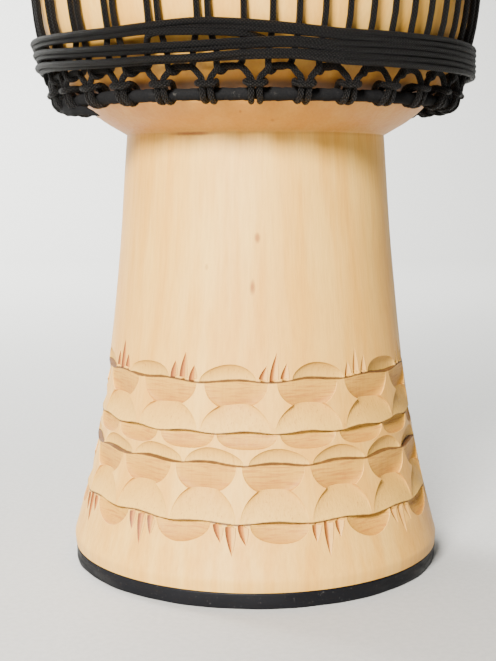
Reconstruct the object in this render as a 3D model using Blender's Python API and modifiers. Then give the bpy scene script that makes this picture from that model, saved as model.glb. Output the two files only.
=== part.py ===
"""Rope-tuned goblet drum with a carved wooden shell, a goatskin head and two wrapped steel rings.

Metres, +Z up. The origin is on the floor under the drum's axis. Angles run round the axis from the
-Y side, the front of the carving, towards +X.
"""

import math

import bmesh
import bpy
from mathutils import Matrix, Vector, geometry

# Whole drum
DRUM_HEIGHT = 0.600
ROUND_STEPS = 30
GAP = 0.0003

# Shell outside: neck, foot, the bowl's shoulder and its rim
NECK_HEIGHT = 0.2865
NECK_RADIUS = 0.0863
FOOT_RADIUS = 0.1255
FOOT_BULGE_HEIGHT = 0.0175
FOOT_EASE = 0.0006
FLARE_EVEN_SHARE = 0.488
UNDERSIDE_LENGTH = 0.013
UNDERSIDE_ANGLE = math.radians(29.8)
SHOULDER_RISE = 0.0855
SHOULDER_RADIUS = 0.1427
SHOULDER_HANDLE_LOW = 0.030
SHOULDER_HANDLE_HIGH = 0.025
INNER_HANDLE_SHARE = 0.6
RIM_RADIUS = 0.1535
RIM_ROUND = 0.004

# Shell walls
RIM_WALL = 0.012
BOWL_WALL = 0.013
UNDERSIDE_WALL = 0.016
NECK_WALL = 0.018
STEM_WALL = 0.015
RIM_BEVEL = 0.008

# Rubber strip under the foot
STRIP_HEIGHT = 0.010
STRIP_RADIUS = 0.125
STRIP_WIDTH = 0.017

# Goatskin: thickness, depth of the collar and thickness of its rolled edge
SKIN_THICKNESS = 0.001
COLLAR_DEPTH = 0.052
ROLL_THICKNESS = 0.007

# Wrapped steel rings and the rope
RING_THICKNESS = 0.008
RING_SIDES = 5
ROPE_THICKNESS = 0.004
ROPE_CORNER = 1.42
BOTTOM_RING_SEAT = 0.32
BOTTOM_RING_STANDOFF = 0.0036
LOOP_COUNT = 30
LOOP_LENGTH = 0.0145
CROWN_LOOP_LENGTH = 0.020
HITCH_WIDTH = 0.0065
HOOK_INSET = 0.75
BACK_HOOK_ROOM = 1.33
LACE_BEND_DROP = 0.0103
WRAP_ROUNDS = 3
WRAP_RISE = 0.0065
WRAP_LEAD_TURN = 0.1
WRAP_LEAD_ROOM = 2.3

# Carved band on the stem: the top of its room, its four lines, and each row's number of cuts, the
# angle in degrees of the cut nearest the front, and the share of its room that each cut takes
BAND_TOP = 0.165
LINE_HEIGHTS = (0.1354, 0.1039, 0.0851, 0.0508)
DOME_COUNT = 11
DOME_ANGLE = -9.5
DOME_FILL_SHARE = 0.62
CUP_COUNT = 14
CUP_ANGLE = -6.8
CUP_FILL_SHARE = 0.86
CUP_FOOT_FILL_SHARE = 0.94
LENS_COUNT = 17
LENS_ANGLE = -3.1
LENS_FILL_SHARE = 0.94
LOW_CUP_COUNT = 16
LOW_CUP_ANGLE = 5.8
LOW_CUP_FILL_SHARE = 0.93
SCALLOP_COUNT = 12
SCALLOP_ANGLE = 7.5
SCALLOP_FILL_SHARE = 0.61

# Scoops: their heights and depths, and the share of each that its floor takes
DOME_HEIGHT = 0.010
LENS_HEIGHT = 0.0095
ARCH_HEIGHT = 0.008
SCALLOP_HEIGHT = 0.0125
SCOOP_DEPTH = 0.0024
DEEP_SCOOP_DEPTH = 0.0028
SCOOP_SIDES = 4
SCOOP_FLOOR = 0.88
SCOOP_EDGE_SHARE = 0.62
SADDLE_WIDTH_SHARE = 0.76
SADDLE_RISE_SHARE = 0.4
SADDLE_DEPTH_SHARE = 0.45
UPPER_WAIST_SHARE = 0.47
LOWER_WAIST_SHARE = 0.45
WAIST_BULGE_SHARE = 1.15
WAIST_SHOULDER_SHARE = 0.55
LEDGE = 0.0008

# Spikes: three V grooves each, which share the room that the scoops beside them leave
SPIKE_LENGTH = 0.018
LOW_SPIKE_LENGTH = 0.020
SIDE_PRONG_SHARE = 0.6
PRONG_FILL_SHARE = 0.42
SPIKE_ROOM_SHARE = 0.9
SPIKE_DEPTH = 0.0017

# The unrolled band's plane: its radius and a slant, so that no four of its points share a circle
UNROLL_RADIUS = 0.108
UNROLL_SHEAR = 0.137

ROPE_RADIUS = ROPE_THICKNESS / 2
RING_RADIUS = RING_THICKNESS / 2
SHELL_TOP = DRUM_HEIGHT - SKIN_THICKNESS - GAP
SHOULDER_HEIGHT = NECK_HEIGHT + SHOULDER_RISE
LACE_BEND_HEIGHT = SHOULDER_HEIGHT - LACE_BEND_DROP
BAND_BOTTOM = FOOT_BULGE_HEIGHT
LOOP_STEP = 2 * math.pi / LOOP_COUNT


def clear_scene():
    for item in list(bpy.data.objects):
        bpy.data.objects.remove(item, do_unlink=True)


def new_collection(name):
    collection = bpy.data.collections.new(name)
    bpy.context.scene.collection.children.link(collection)
    return collection


def material(name, colour, roughness, metallic=0.0):
    made = bpy.data.materials.new(name)
    made.use_nodes = True
    shader = made.node_tree.nodes["Principled BSDF"]
    shader.inputs["Base Color"].default_value = (*colour, 1.0)
    shader.inputs["Roughness"].default_value = roughness
    shader.inputs["Metallic"].default_value = metallic
    made.diffuse_color = (*colour, 1.0)
    return made


def at(angle, radius, height):
    """Point at an angle from the front, a radius and a height."""
    return Vector((radius * math.sin(angle), -radius * math.cos(angle), height))


def stem_radius(height):
    """Outer radius of the stem: an even flare below the neck plus one that grows with the cube."""
    share = (NECK_HEIGHT - height) / (NECK_HEIGHT - FOOT_BULGE_HEIGHT)
    flare = FLARE_EVEN_SHARE * share + (1 - FLARE_EVEN_SHARE) * share ** 3
    return NECK_RADIUS + (FOOT_RADIUS - NECK_RADIUS) * flare


def bezier(start, first, second, end, share):
    rest = 1 - share
    return (start * rest ** 3 + first * 3 * rest ** 2 * share
            + second * 3 * rest * share ** 2 + end * share ** 3)


UNDERSIDE = Vector((math.cos(UNDERSIDE_ANGLE), math.sin(UNDERSIDE_ANGLE)))
SIDE = Vector((RIM_RADIUS - SHOULDER_RADIUS, SHELL_TOP - SHOULDER_HEIGHT)).normalized()
NECK = Vector((NECK_RADIUS, NECK_HEIGHT))
SHOULDER_START = NECK + UNDERSIDE * UNDERSIDE_LENGTH
SHOULDER_END = Vector((SHOULDER_RADIUS, SHOULDER_HEIGHT))


def shoulder(share):
    """Radius and height on the bowl's outer curve, from its underside (0) to its side (1)."""
    return bezier(SHOULDER_START, SHOULDER_START + UNDERSIDE * SHOULDER_HANDLE_LOW,
                  SHOULDER_END - SIDE * SHOULDER_HANDLE_HIGH, SHOULDER_END, share)


def bowl_radius(height):
    """Outer radius of the bowl at a height above its underside."""
    if height >= SHOULDER_HEIGHT:
        return SHOULDER_RADIUS + (height - SHOULDER_HEIGHT) * SIDE.x / SIDE.y
    low, high = 0.0, 1.0
    for _ in range(40):
        middle = (low + high) / 2
        if shoulder(middle).y < height:
            low = middle
        else:
            high = middle
    return shoulder(low).x


def turned(name, profile, collection, finish):
    """A turned piece: a profile of (radius, height) points swept round Z by a Screw modifier.

    A profile that starts on the axis also ends there; any other is closed into a loop.
    """
    mesh = bpy.data.meshes.new(name)
    points = [(x, 0, z) for x, z in profile]
    on_axis = abs(profile[0][0]) < 1e-9
    last = len(points) - 1 if on_axis else len(points)
    mesh.from_pydata(points, [(i, (i + 1) % len(points)) for i in range(last)], [])
    piece = bpy.data.objects.new(name, mesh)
    collection.objects.link(piece)
    mesh.materials.append(finish)
    screw = piece.modifiers.new("turn", "SCREW")
    screw.steps = ROUND_STEPS
    screw.render_steps = ROUND_STEPS
    screw.use_merge_vertices = True
    screw.merge_threshold = 0.00001
    screw.use_smooth_shade = True
    return piece


def shell_profile():
    """(radius, height) points from the band's lower edge round the foot, up the inside and down the
    outside to the band's upper edge."""
    foot = STRIP_HEIGHT + GAP
    throat = NECK_RADIUS - NECK_WALL
    profile = [
        (stem_radius(BAND_BOTTOM), BAND_BOTTOM),
        (FOOT_RADIUS - FOOT_EASE, foot),
        (stem_radius(foot) - STEM_WALL, foot),
        (stem_radius(LINE_HEIGHTS[2]) - STEM_WALL, LINE_HEIGHTS[2]),
        (stem_radius(BAND_TOP) - STEM_WALL, BAND_TOP),
        (throat, NECK_HEIGHT - UNDERSIDE_WALL / 2),
        (throat, NECK_HEIGHT + UNDERSIDE_WALL / 2),
    ]
    inward = Vector((-UNDERSIDE.y, UNDERSIDE.x))
    start = SHOULDER_START + inward * UNDERSIDE_WALL
    end = SHOULDER_END - Vector((BOWL_WALL, 0))
    first = start + UNDERSIDE * SHOULDER_HANDLE_LOW * INNER_HANDLE_SHARE
    second = end - SIDE * SHOULDER_HANDLE_HIGH
    profile += [tuple(bezier(start, first, second, end, share)) for share in (0.0, 0.6, 1.0)]
    profile += [
        (RIM_RADIUS - RIM_WALL, SHELL_TOP - RIM_BEVEL),
        (RIM_RADIUS - RIM_ROUND, SHELL_TOP),
        (RIM_RADIUS, SHELL_TOP - RIM_ROUND),
    ]
    profile += [tuple(shoulder(share)) for share in (1.0, 0.75, 0.5, 0.25, 0.0)]
    waist = (NECK_HEIGHT + BAND_TOP) / 2
    profile += [tuple(NECK), (stem_radius(waist), waist), (stem_radius(BAND_TOP), BAND_TOP)]
    return profile


def scoop_row(line, side, count, phase, fill, rise, reach, depth):
    """A row of scoops round the stem, each a half ellipse with a steep edge.

    side is 1 above the line and -1 below it, and fill is the share of its room that a scoop takes.
    A whole half ellipse is deepest at its line. One of height rise that is cut off straight at
    reach, where it meets the next row, is deepest there, so that the two make a saddle.
    Returns chains of (angle, height, depth) points and the points on the line itself.
    """
    step = 2 * math.pi / count
    edge = line + side * LEDGE / 2
    limit = math.asin(min(reach / rise, 1))
    turns = [0, limit * WAIST_SHOULDER_SHARE, limit]
    turns += [math.pi - turn for turn in reversed(turns)]
    if reach == rise:
        turns = [math.pi * share / SCOOP_SIDES for share in range(SCOOP_SIDES + 1)]
    chains = []
    on_line = []
    for index in range(count):
        centre = math.radians(phase) + index * step
        half = fill * step / 2
        rim = [(centre - half * math.cos(turn), edge + side * rise * math.sin(turn), 0.0)
               for turn in turns]
        if reach < rise:
            foot = half * math.cos(limit) * SCOOP_FLOOR
            valley = [(centre + hand * foot, edge + side * reach, depth) for hand in (-1, 1)]
            slope = [(centre + hand * half * SADDLE_WIDTH_SHARE, edge + side * reach * SADDLE_RISE_SHARE,
                      depth * SADDLE_DEPTH_SHARE) for hand in (-1, 1)]
            chains += [rim[:3] + valley + rim[3:], [slope[0], valley[0]], [slope[1], valley[1]]]
            on_line += [rim[0], rim[-1]]
            continue
        floor = [(centre + (angle - centre) * SCOOP_FLOOR, edge + (height - edge) * SCOOP_FLOOR,
                  depth * SCOOP_EDGE_SHARE) for angle, height, _ in rim]
        chains += [rim, floor]
        on_line += [rim[0], floor[0], (centre, edge, depth), floor[-1], rim[-1]]
    return chains, on_line


def spike_row(line, side, count, phase, scoop_fill, length):
    """A row of three-pronged spikes round the stem: V grooves, the middle one the longest.

    scoop_fill is the share of the row that the scoops between the spikes take.
    """
    step = 2 * math.pi / count
    pitch = step * (1 - scoop_fill) * SPIKE_ROOM_SHARE / (2 + 2 * PRONG_FILL_SHARE)
    edge = line + side * LEDGE / 2
    chains = []
    on_line = []
    for index in range(count):
        centre = math.radians(phase) + index * step
        for hand, share in ((-1, SIDE_PRONG_SHARE), (0, 1), (1, SIDE_PRONG_SHARE)):
            middle = centre + hand * pitch
            half = pitch * PRONG_FILL_SHARE
            tip = (middle + hand * half, edge + side * share * length, 0.0)
            start = (middle - half, edge, 0.0)
            end = (middle + half, edge, 0.0)
            chains.append([start, tip, end])
            chains.append([(middle, edge, SPIKE_DEPTH), tip])
            on_line += [start, (middle, edge, SPIKE_DEPTH), end]
    return chains, on_line


def carved_rows():
    """The rows of the band, from the top: domes and spikes, hourglasses, lenses, hourglasses and
    scallops with spikes."""
    first, second, third, fourth = LINE_HEIGHTS
    upper_waist = (first - second) * UPPER_WAIST_SHARE
    lower_waist = (third - fourth) * LOWER_WAIST_SHARE
    upper_rest = first - second - upper_waist - LEDGE
    lower_rest = third - fourth - lower_waist - LEDGE
    between_domes = DOME_ANGLE + 180 / DOME_COUNT
    between_scallops = SCALLOP_ANGLE + 180 / SCALLOP_COUNT
    between_lenses = LENS_ANGLE + 180 / LENS_COUNT
    return (
        scoop_row(first, 1, DOME_COUNT, DOME_ANGLE, DOME_FILL_SHARE, DOME_HEIGHT, DOME_HEIGHT, SCOOP_DEPTH),
        spike_row(first, 1, DOME_COUNT, between_domes, DOME_FILL_SHARE, SPIKE_LENGTH),
        scoop_row(first, -1, CUP_COUNT, CUP_ANGLE, CUP_FILL_SHARE, upper_waist * WAIST_BULGE_SHARE,
                  upper_waist, DEEP_SCOOP_DEPTH),
        scoop_row(second, 1, CUP_COUNT, CUP_ANGLE, CUP_FOOT_FILL_SHARE, upper_rest * WAIST_BULGE_SHARE,
                  upper_rest, DEEP_SCOOP_DEPTH),
        scoop_row(second, -1, LENS_COUNT, LENS_ANGLE, LENS_FILL_SHARE, LENS_HEIGHT, LENS_HEIGHT, SCOOP_DEPTH),
        scoop_row(third, 1, LENS_COUNT, between_lenses, LENS_FILL_SHARE, ARCH_HEIGHT, ARCH_HEIGHT, SCOOP_DEPTH),
        scoop_row(third, -1, LOW_CUP_COUNT, LOW_CUP_ANGLE, LOW_CUP_FILL_SHARE, lower_waist * WAIST_BULGE_SHARE,
                  lower_waist, DEEP_SCOOP_DEPTH),
        scoop_row(fourth, 1, LOW_CUP_COUNT, LOW_CUP_ANGLE, LENS_FILL_SHARE, lower_rest * WAIST_BULGE_SHARE,
                  lower_rest, DEEP_SCOOP_DEPTH),
        scoop_row(fourth, -1, SCALLOP_COUNT, SCALLOP_ANGLE, SCALLOP_FILL_SHARE, SCALLOP_HEIGHT, SCALLOP_HEIGHT,
                  DEEP_SCOOP_DEPTH),
        spike_row(fourth, -1, SCALLOP_COUNT, between_scallops, SCALLOP_FILL_SHARE, LOW_SPIKE_LENGTH),
    )


def ring_points(height):
    """A plain ring of the stem; like the turned surfaces that it meets, it starts at +X."""
    return [(math.pi / 2 + index * 2 * math.pi / ROUND_STEPS, height, 0.0)
            for index in range(ROUND_STEPS)]


def carve_band(shell):
    """Add the carved band to the shell's bmesh.

    The band is unrolled into a plane, where its outlines, its lines and the two plain rings that
    bound it are triangulated together, and it is then rolled up with each point sunk by its depth.
    The plane runs on past one turn at both ends, so that the seam comes out the same on both sides.
    """
    chains = []
    lines = {}
    for row, on_line in carved_rows():
        chains += row
        lines.setdefault(round(on_line[0][1], 6), []).extend(on_line)
    closed = [sorted(set(points)) for points in lines.values()]
    closed += [ring_points(height) for height in (BAND_BOTTOM, BAND_TOP)]
    turn = 2 * math.pi
    for ring in closed:
        ring = sorted((angle % turn, height, depth) for angle, height, depth in ring)
        chains.append(ring + [(ring[0][0] + turn, *ring[0][1:])])
    index_of = {}
    points = []
    edges = []
    for lap in (-1, 0, 1):
        for chain in chains:
            numbers = []
            for angle, height, depth in chain:
                key = (round(angle + lap * turn, 5), round(height, 6))
                if key not in index_of:
                    index_of[key] = len(points)
                    points.append((angle + lap * turn, height, depth))
                numbers.append(index_of[key])
            edges += zip(numbers, numbers[1:])
    flat = [Vector((angle * UNROLL_RADIUS + height * UNROLL_SHEAR, height))
            for angle, height, _ in points]
    _, _, faces, origins, _, _ = geometry.delaunay_2d_cdt(flat, edges, [], 0, 1e-7)
    corners = {}
    for face in faces:
        places = [points[origins[number][0]] for number in face]
        middle = sum(place[0] for place in places) / 3
        if not 0 <= middle < turn:
            continue
        verts = []
        for angle, height, depth in places:
            key = (round(angle % turn, 4) % round(turn, 4), round(height, 6))
            if key not in corners:
                corners[key] = shell.verts.new(at(angle, stem_radius(height) - depth, height))
            verts.append(corners[key])
        shell.faces.new(verts)


def make_shell(collection, wood):
    """The turned surfaces, with a gap in the stem that the carved band fills."""
    shell = bmesh.new()
    rail = [shell.verts.new((x, 0, z)) for x, z in shell_profile()]
    sides = [shell.edges.new(pair) for pair in zip(rail, rail[1:])]
    bmesh.ops.spin(shell, geom=rail + sides, cent=(0, 0, 0), axis=(0, 0, 1),
                   angle=2 * math.pi, steps=ROUND_STEPS)
    carve_band(shell)
    bmesh.ops.remove_doubles(shell, verts=shell.verts[:], dist=0.00002)
    bmesh.ops.recalc_face_normals(shell, faces=shell.faces[:])
    mesh = bpy.data.meshes.new("shell")
    shell.to_mesh(mesh)
    shell.free()
    mesh.materials.append(wood)
    mesh.shade_smooth()
    mesh.set_sharp_from_angle(angle=math.radians(20))
    piece = bpy.data.objects.new("shell", mesh)
    collection.objects.link(piece)
    return piece


def make_foot_strip(collection, rubber):
    inner = STRIP_RADIUS - STRIP_WIDTH
    profile = [(STRIP_RADIUS, STRIP_HEIGHT), (STRIP_RADIUS, 0), (inner, 0), (inner, STRIP_HEIGHT)]
    return turned("foot_strip", profile, collection, rubber)


def collar_radius(height):
    """Outer radius of the skin's collar."""
    return bowl_radius(height) + GAP + SKIN_THICKNESS


def roll_centre():
    height = DRUM_HEIGHT - COLLAR_DEPTH + ROLL_THICKNESS / 2
    return Vector((collar_radius(height) + ROLL_THICKNESS / 2 - SKIN_THICKNESS, height))


def make_head_skin(collection, goatskin):
    roll = roll_centre()
    half = ROLL_THICKNESS / 2
    outside = [
        (0, DRUM_HEIGHT),
        (RIM_RADIUS - RIM_ROUND, DRUM_HEIGHT),
        (RIM_RADIUS + GAP + SKIN_THICKNESS, SHELL_TOP - RIM_ROUND),
        (collar_radius(roll.y + half), roll.y + half),
        (roll.x + half, roll.y + half * 0.3),
        (roll.x + half * 0.4, roll.y - half),
    ]
    low = roll.y - half
    inside = [
        (bowl_radius(low) + GAP, low),
        (RIM_RADIUS + GAP, SHELL_TOP - RIM_ROUND),
        (RIM_RADIUS - RIM_ROUND, SHELL_TOP + GAP),
        (0, SHELL_TOP + GAP),
    ]
    return turned("head_skin", outside + inside, collection, goatskin)


def bottom_ring_centre():
    """Radius and height of the bottom ring, which hangs under the shoulder, clear of the shell."""
    seat = shoulder(BOTTOM_RING_SEAT)
    along = shoulder(BOTTOM_RING_SEAT + 0.01) - shoulder(BOTTOM_RING_SEAT - 0.01)
    outward = Vector((along.y, -along.x)).normalized()
    return seat + outward * (RING_RADIUS + ROPE_THICKNESS + BOTTOM_RING_STANDOFF)


def crown_ring_centre():
    """Radius and height of the crown ring, which sits on the roll of the skin."""
    roll = roll_centre()
    room = RING_RADIUS + ROPE_RADIUS * ROPE_CORNER + ROPE_RADIUS + 3 * GAP
    height = roll.y + ROLL_THICKNESS / 2 + room
    return Vector((collar_radius(height) + room, height))


def make_ring(name, centre, collection, cloth):
    bpy.ops.mesh.primitive_torus_add(major_segments=ROUND_STEPS, minor_segments=RING_SIDES,
                                     major_radius=centre.x, minor_radius=RING_RADIUS,
                                     location=(0, 0, centre.y))
    ring = bpy.context.object
    ring.name = name
    ring.data.name = name
    ring.data.transform(ring.matrix_world)
    ring.matrix_world = Matrix.Identity(4)
    ring.data.materials.append(cloth)
    ring.data.shade_smooth()
    for holder in list(ring.users_collection):
        holder.objects.unlink(ring)
    collection.objects.link(ring)
    return ring


def make_rope(name, points, closed, collection, cord):
    """A rope: a poly curve through the points with a round section and filled ends."""
    curve = bpy.data.curves.new(name, "CURVE")
    curve.dimensions = "3D"
    curve.bevel_depth = ROPE_RADIUS
    curve.bevel_resolution = 0
    curve.use_fill_caps = True
    spline = curve.splines.new("POLY")
    spline.points.add(len(points) - 1)
    for point, place in zip(spline.points, points):
        point.co = (*place, 1)
    spline.use_cyclic_u = closed
    rope = bpy.data.objects.new(name, curve)
    collection.objects.link(rope)
    curve.materials.append(cord)
    return rope


def bar_place(ring, length, side):
    """Radius and height of the loops' bars beside a ring; side is 1 above it and -1 below it."""
    return Vector((ring.x + RING_RADIUS + ROPE_RADIUS + GAP, ring.y + side * length))


def loop_points(ring, bar, side, phase):
    """A rope that takes a turn round its ring at each hitch and spans a bar between hitches."""
    reach = RING_RADIUS + ROPE_RADIUS + GAP
    half_hitch = HITCH_WIDTH / 2 / ring.x
    points = []
    for index in range(LOOP_COUNT):
        centre = phase + index * LOOP_STEP
        hitch = centre + LOOP_STEP / 2
        points.append(at(centre - LOOP_STEP / 4, bar.x, bar.y))
        points.append(at(centre + LOOP_STEP / 4, bar.x, bar.y))
        points.append(at(hitch - half_hitch, ring.x + reach, ring.y - side * reach))
        points.append(at(hitch - half_hitch / 2, ring.x - reach, ring.y - side * reach))
        points.append(at(hitch + half_hitch, ring.x - reach, ring.y + side * reach))
    return points


def lace_points(bar, crown_bar, phase):
    """The tension rope: up and down between the two rows of bars, then round the drum."""
    hook = ROPE_THICKNESS + GAP
    inset = LOOP_STEP / 4 * HOOK_INSET
    bend = bowl_radius(LACE_BEND_HEIGHT) + ROPE_RADIUS + 4 * GAP
    points = []
    for index in range(LOOP_COUNT + 1):
        centre = phase + index * LOOP_STEP
        if index > 0:
            points.append(at(centre - LOOP_STEP / 4, bend, LACE_BEND_HEIGHT))
            points.append(at(centre - inset, bar.x + hook, bar.y - hook))
        if index < LOOP_COUNT:
            points.append(at(centre + inset, bar.x - hook * BACK_HOOK_ROOM, bar.y - hook))
            points.append(at(centre + LOOP_STEP / 4, bend, LACE_BEND_HEIGHT))
            crown = centre + LOOP_STEP / 2
            points.append(at(crown - inset, crown_bar.x + hook, crown_bar.y + hook))
            points.append(at(crown + inset, crown_bar.x - hook, crown_bar.y + hook))
    return points + wrap_points(bar, bend, phase)


def wrap_points(bar, bend, phase):
    """The spare rope: rounds wound one above the other over the lacing."""
    hook = ROPE_THICKNESS + GAP
    low = bar.y - hook
    lace_slope = (bend - bar.x - hook) / (LACE_BEND_HEIGHT - low)
    points = [at(phase + LOOP_STEP * WRAP_LEAD_TURN, bar.x + hook * WRAP_LEAD_ROOM, low)]
    for step in range(1, WRAP_ROUNDS * ROUND_STEPS + 1):
        turn = step / ROUND_STEPS
        height = bar.y + WRAP_RISE + turn * (ROPE_THICKNESS + GAP)
        lace = bar.x + hook + lace_slope * (height - low)
        radius = (lace + ROPE_THICKNESS + 3 * GAP) / math.cos(math.pi / ROUND_STEPS)
        points.append(at(phase + 2 * math.pi * turn, radius, height))
    return points


def build():
    clear_scene()
    drum = new_collection("goblet_drum")
    wood = material("pale_wood", (0.72, 0.53, 0.33), 0.45)
    rubber = material("rubber", (0.025, 0.025, 0.03), 0.7)
    goatskin = material("goatskin", (0.80, 0.72, 0.58), 0.55)
    cloth = material("black_cloth", (0.02, 0.02, 0.02), 0.85)
    cord = material("black_rope", (0.022, 0.022, 0.02), 0.8)
    make_shell(drum, wood)
    make_foot_strip(drum, rubber)
    make_head_skin(drum, goatskin)
    bottom_ring = bottom_ring_centre()
    crown_ring = crown_ring_centre()
    bar = bar_place(bottom_ring, LOOP_LENGTH, 1)
    crown_bar = bar_place(crown_ring, CROWN_LOOP_LENGTH, -1)
    make_ring("bottom_ring", bottom_ring, drum, cloth)
    make_ring("crown_ring", crown_ring, drum, cloth)
    half = LOOP_STEP / 2
    make_rope("bottom_loops", loop_points(bottom_ring, bar, 1, half), True, drum, cord)
    make_rope("crown_loops", loop_points(crown_ring, crown_bar, -1, 0), True, drum, cord)
    make_rope("tension_rope", lace_points(bar, crown_bar, half), False, drum, cord)


build()
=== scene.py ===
"""The look of a rope-tuned goblet drum: carved pale wood, goatskin, wrapped rings and black rope.

Metres, +Z up. Angles run round the drum's axis from the -Y side, its front, towards +X.
"""

import math

import bpy
import numpy as np
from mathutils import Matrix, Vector, geometry


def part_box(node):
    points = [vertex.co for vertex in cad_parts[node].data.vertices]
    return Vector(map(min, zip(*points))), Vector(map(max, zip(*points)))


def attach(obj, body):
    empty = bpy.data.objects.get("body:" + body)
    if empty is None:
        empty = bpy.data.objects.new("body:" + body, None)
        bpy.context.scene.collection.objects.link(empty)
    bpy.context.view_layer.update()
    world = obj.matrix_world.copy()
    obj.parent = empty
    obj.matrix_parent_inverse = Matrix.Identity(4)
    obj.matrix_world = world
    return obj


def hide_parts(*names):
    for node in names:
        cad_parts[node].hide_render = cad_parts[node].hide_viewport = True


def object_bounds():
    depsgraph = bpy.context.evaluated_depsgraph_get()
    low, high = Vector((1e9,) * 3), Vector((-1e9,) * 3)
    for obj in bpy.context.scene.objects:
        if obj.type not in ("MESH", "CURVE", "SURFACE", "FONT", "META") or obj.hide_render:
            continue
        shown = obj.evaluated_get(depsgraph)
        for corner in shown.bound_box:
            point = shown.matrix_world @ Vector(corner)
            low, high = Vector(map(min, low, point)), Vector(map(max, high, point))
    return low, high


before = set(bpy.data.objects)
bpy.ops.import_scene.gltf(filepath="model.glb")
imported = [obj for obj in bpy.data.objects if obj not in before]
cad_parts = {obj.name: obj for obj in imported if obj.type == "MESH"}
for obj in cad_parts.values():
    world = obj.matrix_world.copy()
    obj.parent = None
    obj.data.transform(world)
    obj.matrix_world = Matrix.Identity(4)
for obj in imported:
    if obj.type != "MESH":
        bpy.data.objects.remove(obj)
cad_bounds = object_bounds()

# Shell
# The body is one log of pale hardwood, turned and hollowed to a goblet that is open at both ends.
# Its stem is plain above and chip-carved below, and everything has a thin satin varnish.

NECK_HEIGHT = 0.2865
NECK_RADIUS = 0.0863
FOOT_RADIUS = 0.1255
FOOT_BULGE_HEIGHT = 0.0175
FOOT_EASE = 0.0006
FLARE_EVEN_SHARE = 0.488
UNDERSIDE_ANGLE = math.radians(29.8)
UNDERSIDE_LENGTH = 0.013
SHOULDER_HEIGHT = 0.372
SHOULDER_RADIUS = 0.1427
SHOULDER_HANDLE_LOW = 0.030
SHOULDER_HANDLE_HIGH = 0.025
INNER_HANDLE_SHARE = 0.6
RIM_RADIUS = 0.1535
RIM_ROUND = 0.004
RIM_WALL = 0.012
RIM_BEVEL = 0.008
BOWL_WALL = 0.013
UNDERSIDE_WALL = 0.016
NECK_WALL = 0.018
STEM_WALL = 0.015
SHELL_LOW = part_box("shell")[0][2]
SHELL_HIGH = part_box("shell")[1][2]

BAND_LOW = 0.0185
BAND_HIGH = 0.166
LINE_HEIGHTS = (0.1354, 0.1039, 0.0851, 0.0508)
LEDGE = 0.0004
DOME_COUNT = 11
CUP_COUNT = 14
LENS_COUNT = 17
LOW_CUP_COUNT = 16
SCALLOP_COUNT = 12
DOME_ANGLE = -10.0
CUP_ANGLE = -6.8
LENS_ANGLE = -3.1
LOW_CUP_ANGLE = 5.8
SCALLOP_ANGLE = 7.5

RING_COLUMNS = 256
TURN = 2 * math.pi
TINY = 1e-6

# The band is cut on a plane: the stem unrolled at this radius, with a slant so that no four of its
# points share a circle. Points closer than WELD become one.
UNROLL_RADIUS = 0.108
UNROLL_SHEAR = 0.137
WELD = 2e-6


def at(angle, radius, height):
    """Points at angles from the front, radii and heights."""
    angle, radius, height = np.broadcast_arrays(angle, radius, height)
    return np.stack((radius * np.sin(angle), -radius * np.cos(angle), height), axis=-1)


def one_turn(angle):
    """The same angles, brought between half a turn to the left and half a turn to the right."""
    return (angle + math.pi) % TURN - math.pi


def climb_from(value, low, high):
    """A share that goes from 0 to 1 as a value goes from low to high, and stays there."""
    return np.clip((value - low) / (high - low), 0, 1)


def grid_quads(number, closed):
    """Quads between the rows of a grid of point numbers; its columns, and closed rows, run round."""
    start = number if closed else number[:-1]
    after = np.roll(number, -1, axis=0)[:len(start)]
    corners = (start, after, np.roll(after, -1, axis=1), np.roll(start, -1, axis=1))
    return np.stack(corners, axis=2).reshape(-1, 4)


def stem_radius(height):
    """Outer radius of the stem: an even flare below the neck plus one that grows with the cube."""
    share = (NECK_HEIGHT - height) / (NECK_HEIGHT - FOOT_BULGE_HEIGHT)
    flare = FLARE_EVEN_SHARE * share + (1 - FLARE_EVEN_SHARE) * share ** 3
    return NECK_RADIUS + (FOOT_RADIUS - NECK_RADIUS) * flare


def bezier(start, first, second, end, share):
    """Cubic Bezier curve between two points with two handles, at an array of shares."""
    share = np.asarray(share)[:, None]
    rest = 1 - share
    return (np.array(start) * rest ** 3 + 3 * np.array(first) * rest ** 2 * share
            + 3 * np.array(second) * rest * share ** 2 + np.array(end) * share ** 3)


UNDERSIDE = np.array((math.cos(UNDERSIDE_ANGLE), math.sin(UNDERSIDE_ANGLE)))
SIDE = np.array((RIM_RADIUS - SHOULDER_RADIUS, SHELL_HIGH - SHOULDER_HEIGHT))
SIDE /= np.hypot(*SIDE)
NECK = np.array((NECK_RADIUS, NECK_HEIGHT))
SHOULDER_START = NECK + UNDERSIDE * UNDERSIDE_LENGTH
SHOULDER_END = np.array((SHOULDER_RADIUS, SHOULDER_HEIGHT))


def shoulder(share):
    """(radius, height) on the bowl's outer curve, from its underside (0) to its side (1)."""
    return bezier(SHOULDER_START, SHOULDER_START + UNDERSIDE * SHOULDER_HANDLE_LOW,
                  SHOULDER_END - SIDE * SHOULDER_HANDLE_HIGH, SHOULDER_END, share)


SHOULDER_CURVE = shoulder(np.linspace(0, 1, 200))


def bowl_radius(height):
    """Outer radius of the bowl: its curved shoulder, then a straight side up to the rim."""
    height = np.asarray(height, float)
    curved = np.interp(height, SHOULDER_CURVE[:, 1], SHOULDER_CURVE[:, 0])
    straight = SHOULDER_RADIUS + (height - SHOULDER_HEIGHT) * SIDE[0] / SIDE[1]
    return np.where(height > SHOULDER_HEIGHT, straight, curved)


def between(start, end, steps):
    """Points on a straight line of the profile, without its last one."""
    share = np.linspace(0, 1, steps + 1)[:-1, None]
    return np.array(start) * (1 - share) + np.array(end) * share


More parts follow.
